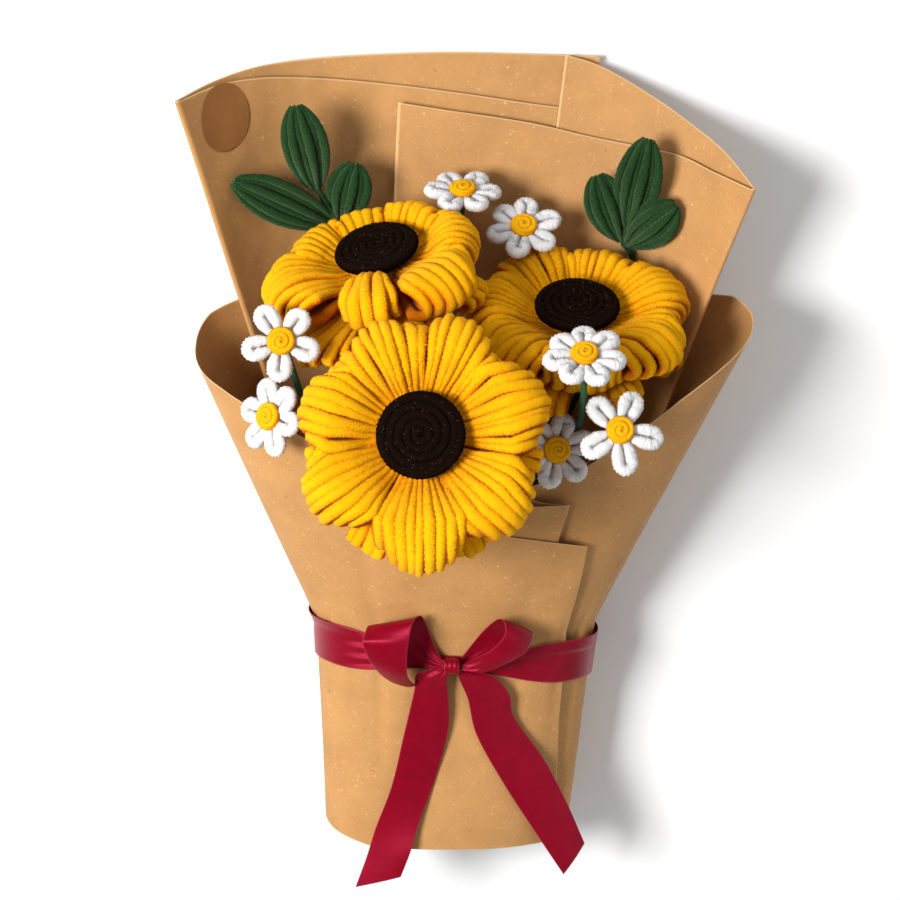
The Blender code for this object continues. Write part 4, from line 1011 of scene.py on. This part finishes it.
ribbonForm = {"width": 25.0, "thick": 0.3, "rows": 13, "rings": 110, "edgeShare": 0.025,
              "cup": 1.0, "pleat": 0.7, "fade": 0.13}
bow = {  # pairs of edge points along the cloth
    "leftTail": (((-3, 4, 86), (1.5, 3, 86)), ((-18, 0, 84.5), (-1.5, -2, 86)),
                 ((-20, -12, 80.8), (-1, -14, 81.2)), ((-26, -40, 75.3), (-1, -36, 75.8)),
                 ((-33, -72, 70.3), (-8, -66, 71.0)), ((-42, -98, 66.6), (-18, -95, 71.6)),
                 ((-47.5, -116, 67.2), (-22.5, -111, 73.2)), ((-54, -134, 68.9), (-28, -126, 73.0))),
    "rightTail": (((3, 3, 85), (7, 1.5, 84.5)), ((6, -6, 83), (24, -3, 81.5)),
                  ((10, -17, 80.2), (33, -15, 77.8)), ((15, -40, 75.0), (36, -30, 73.4)),
                  ((31, -72, 69.6), (53, -57, 67.4)), ((50, -104, 66.2), (66, -84, 63.2)),
                  ((65, -129, 62.4), (77, -111, 59.4))),
    "leftLoop": (((-4.5, 2, 84), (-2.5, 5, 84)), ((-16, 2.5, 80.5), (-8, 13, 80.5)),
                 ((-30, 10, 79.5), (-12, 24, 80.5)), ((-41, 24, 85), (-15, 33, 86)),
                 ((-44.5, 30, 92), (-17.5, 35.5, 93)), ((-47, 26, 98), (-20.5, 33, 99)),
                 ((-47.5, 22, 100), (-23, 20, 101)), ((-43, 10, 97), (-23.5, 6, 98)),
                 ((-35, -1, 91), (-22, -1.5, 92)), ((-25, -7.5, 83.5), (-18, -6.5, 83.5)),
                 ((-13, -5, 81), (-12, 0, 80.5)), ((-4, 0, 82), (-3, 3, 82))),
    "rightLoop": (((4.5, 5.5, 83), (5.5, 3, 83)), ((10, 12.5, 80.5), (15, 3, 80)),
                  ((17.5, 22.5, 81), (27, 8, 79.5)), ((23.5, 30, 86), (39, 17, 80.5)),
                  ((27.5, 34.5, 94), (45, 24, 85)), ((30, 32, 97), (45, 22, 89)),
                  ((29.5, 25.5, 97), (41.5, 14.5, 91)), ((22.5, 16.5, 94), (31.5, 8, 91)),
                  ((13, 10, 89), (18.5, 1.5, 88)), ((6, 5, 86), (8, 2, 86))),
}
band = {"up": 4.0, "out": 1.3, "narrow": 8.0, "reach": 60.0, "left": 0.10, "right": 0.05, "columns": 260,
        "gather": 0.55, "wrinkle": 0.45, "crease": 0.9}


def bandShape():
    # A strip round the waist: up leans with x, and over the front its width draws in towards the knot
    angle = np.linspace(0, 360, band["columns"], endpoint=False)[:, None]
    across = np.linspace(-0.5, 0.5, 2 * ribbonForm["rows"] - 1)[None]
    x = wrapPoint(angle, 0.0, 0.0)[..., 0]
    front = np.clip(np.sin(np.radians(angle)) * 3, 0, 1)
    share = np.clip((np.abs(x - 1) - 4) / band["reach"], 0, 1)
    near = (1 - share * share * (3 - 2 * share)) * front
    width = ribbonForm["width"] - (ribbonForm["width"] - band["narrow"]) * near
    up = band["up"] - x * np.where(x < 0, band["left"], band["right"]) + across * width
    gather = band["gather"] * np.cos(across * 5 * np.pi + 0.6) * near ** 2
    wrinkle = band["wrinkle"] * np.cos(across * 7 * np.pi - x * 0.10) * np.exp(-((x + 43) / 13) ** 2) * front
    crease = band["crease"] * np.clip((across - 0.2) / 0.03, 0, 1) * np.clip((x - 10) / 25, 0, 1) * front
    out = band["out"] + gather + wrinkle + crease
    return sheetShape(wrapPoint(angle, up, -out - ribbonForm["thick"]), wrapPoint(angle, up, -out),
                      closed=True)


def ribbonShape(rails, loop):
    # Straight across between the two edges, with a slight cup and pleats that fade away from the knot
    rings, fade = ribbonForm["rings"], ribbonForm["fade"]
    one, two = (smoothLine([pair[i] for pair in rails], rings)[:, None] for i in (0, 1))
    across = rimmed(ribbonForm["rows"], ribbonForm["edgeShare"])[None, :, None]
    middle = one + (two - one) * across
    normal = unit(np.cross(np.gradient(middle, axis=0), np.gradient(middle, axis=1)))
    far = np.linspace(0, 1, rings)[:, None, None]
    near = np.exp(-(far / fade) ** 2) + (np.exp(-((1 - far) / fade) ** 2) if loop else 0)
    cup = ribbonForm["cup"] * (1 - (2 * across - 1) ** 2)
    middle = middle + normal * (ribbonForm["pleat"] * np.cos(across * 5 * np.pi) * near + cup)
    half = normal * ribbonForm["thick"] / 2
    return sheetShape(middle + half, middle - half)


knotForm = {"middle": (0.5, 4.5, 86.0), "half": 4.2, "tall": 4.6, "deep": 3.6, "thick": 0.35, "waist": 0.12,
            "fold": 0.05, "around": 64, "along": 21}


def knotShape():
    # A short barrel of gathered cloth over the crossing: rings of a rounded section along x,
    # with lengthwise folds
    turn = np.linspace(0, 2 * np.pi, knotForm["around"], endpoint=False)[:, None]
    across = np.linspace(-1, 1, knotForm["along"])[None]
    waist = (1 - knotForm["waist"] * np.abs(across) ** 3
             + knotForm["fold"] * np.cos(across * 10 + np.sin(turn) * 1.5))
    x, up, z = knotForm["middle"]

    def ring(size):
        return np.stack([x + across * knotForm["half"] + 0.5 * np.sin(turn),
                         up + (waist * knotForm["tall"] - size) * np.cos(turn),
                         z + (waist * knotForm["deep"] - size) * np.sin(turn)], -1)

    return sheetShape(ring(0.0), ring(knotForm["thick"]), closed=True)


addCamera()
addStudio()
groups = {"pile": pileGroup(), "kraft": kraftGroup()}
finishes = {name: chenille(name, *look) for name, look in chenilles.items()}
finishes.update({name: kraft(name, *look) for name, look in krafts.items()})
finishes.update({"burgundySatin": satin("burgundySatin"), "floralFoam": foamFinish("floralFoam")})
print("materials made")

addPiece("outerWrap", sheetShape(*outerWrap()), "kraftPaper", ["outer_wrap"])
leftSheet = foldedSheet(sheets["leftOuter"], sheets["leftInner"], sheets["first"])
addPiece("backLeftSheet", sheetShape(*leftSheet), "kraftPaper", ["back_left_sheet"])
rightSheet = foldedSheet(sheets["rightOuter"], sheets["rightInner"],
                         sheets["first"] + 2 * sheets["foldGap"], sheets["rightEdge"])
addPiece("backRightSheet", sheetShape(*rightSheet), "kraftPaper", ["back_right_sheet"])
addPiece("plainSticker", stickerShape(), "kraftLabel")
print("paper made")

for key, plan in sunflowers.items():
    axes, middle = flowerAxes(plan["faces"]), np.array(plan["middle"])
    name, node = "sunflower" + key.capitalize(), f"sunflower_{key}_"
    strands = [petalStrands(middle, axes, spoke, petalForms["front"], *petalLifts.get((key, spoke[0]), ()))
               for spoke in plan["petals"]]
    strands += [petalStrands(middle, axes, spoke, petalForms["back"]) for spoke in plan["behind"]]
    petals = merged([*strands, hubCoil(middle, axes, hub)])
    addPiece(name + "Petals", fuzzed(petals, *petalSizes["fuzz"]), "yellowChenille", [node + "petals"])
    addPiece(name + "Disc", fuzzed(coil(middle, axes, disc), *disc["fuzz"]), "brownChenille", [node + "disc"])
    addPiece(name + "Lint", lintStrands(middle, axes), "paleLint")
    stem = flowerStem(middle, axes[2], plan, stems["sunflower"])
    addPiece(name + "Stem", stem, "stemChenille", [node + "stem"])
print("sunflowers made")

for number, plan in daisies.items():
    axes, middle = flowerAxes(plan["faces"]), np.array(plan["middle"])
    name, node = f"daisy{number}", f"daisy_{number}_"
    petals = fuzzed(daisyPetals(middle, axes, plan), *daisyPetal["fuzz"])
    addPiece(name + "Petals", petals, "whiteChenille", [node + "petals"])
    addPiece(name + "Eye", fuzzed(coil(middle, axes, eye), *eye["fuzz"]), "eyeChenille", [node + "eye"])
    size = stems["twin" if plan.get("twin") else "daisy"]
    stem = merged([flowerStem(middle, axes[2], plan, size, shift) for shift in size["shifts"]])
    addPiece(name + "Stem", stem, "stemChenille", [node + "stem"])
for key, plan in leafSprays.items():
    spray = fuzzed(leafSpray(plan), *leafForm["fuzz"])
    addPiece("leafSpray" + key.capitalize(), spray, "leafChenille", [f"leaf_spray_{key}"])
print("daisies and leaves made")

bandPiece = addPiece("ribbonBand", bandShape(), "burgundySatin", ["ribbon_band"])
knot = addPiece("ribbonKnot", knotShape(), "burgundySatin", ["ribbon_bow"])
for name, rails in bow.items():
    piece = addPiece(name, ribbonShape(rails, "Loop" in name), "burgundySatin", ["ribbon_bow"])
print("ribbon made")

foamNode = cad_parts["foam_block"]
for place in foamNode.material_slots:
    place.material = finishes["floralFoam"]

bpy.context.scene.view_settings.view_transform = "Standard"
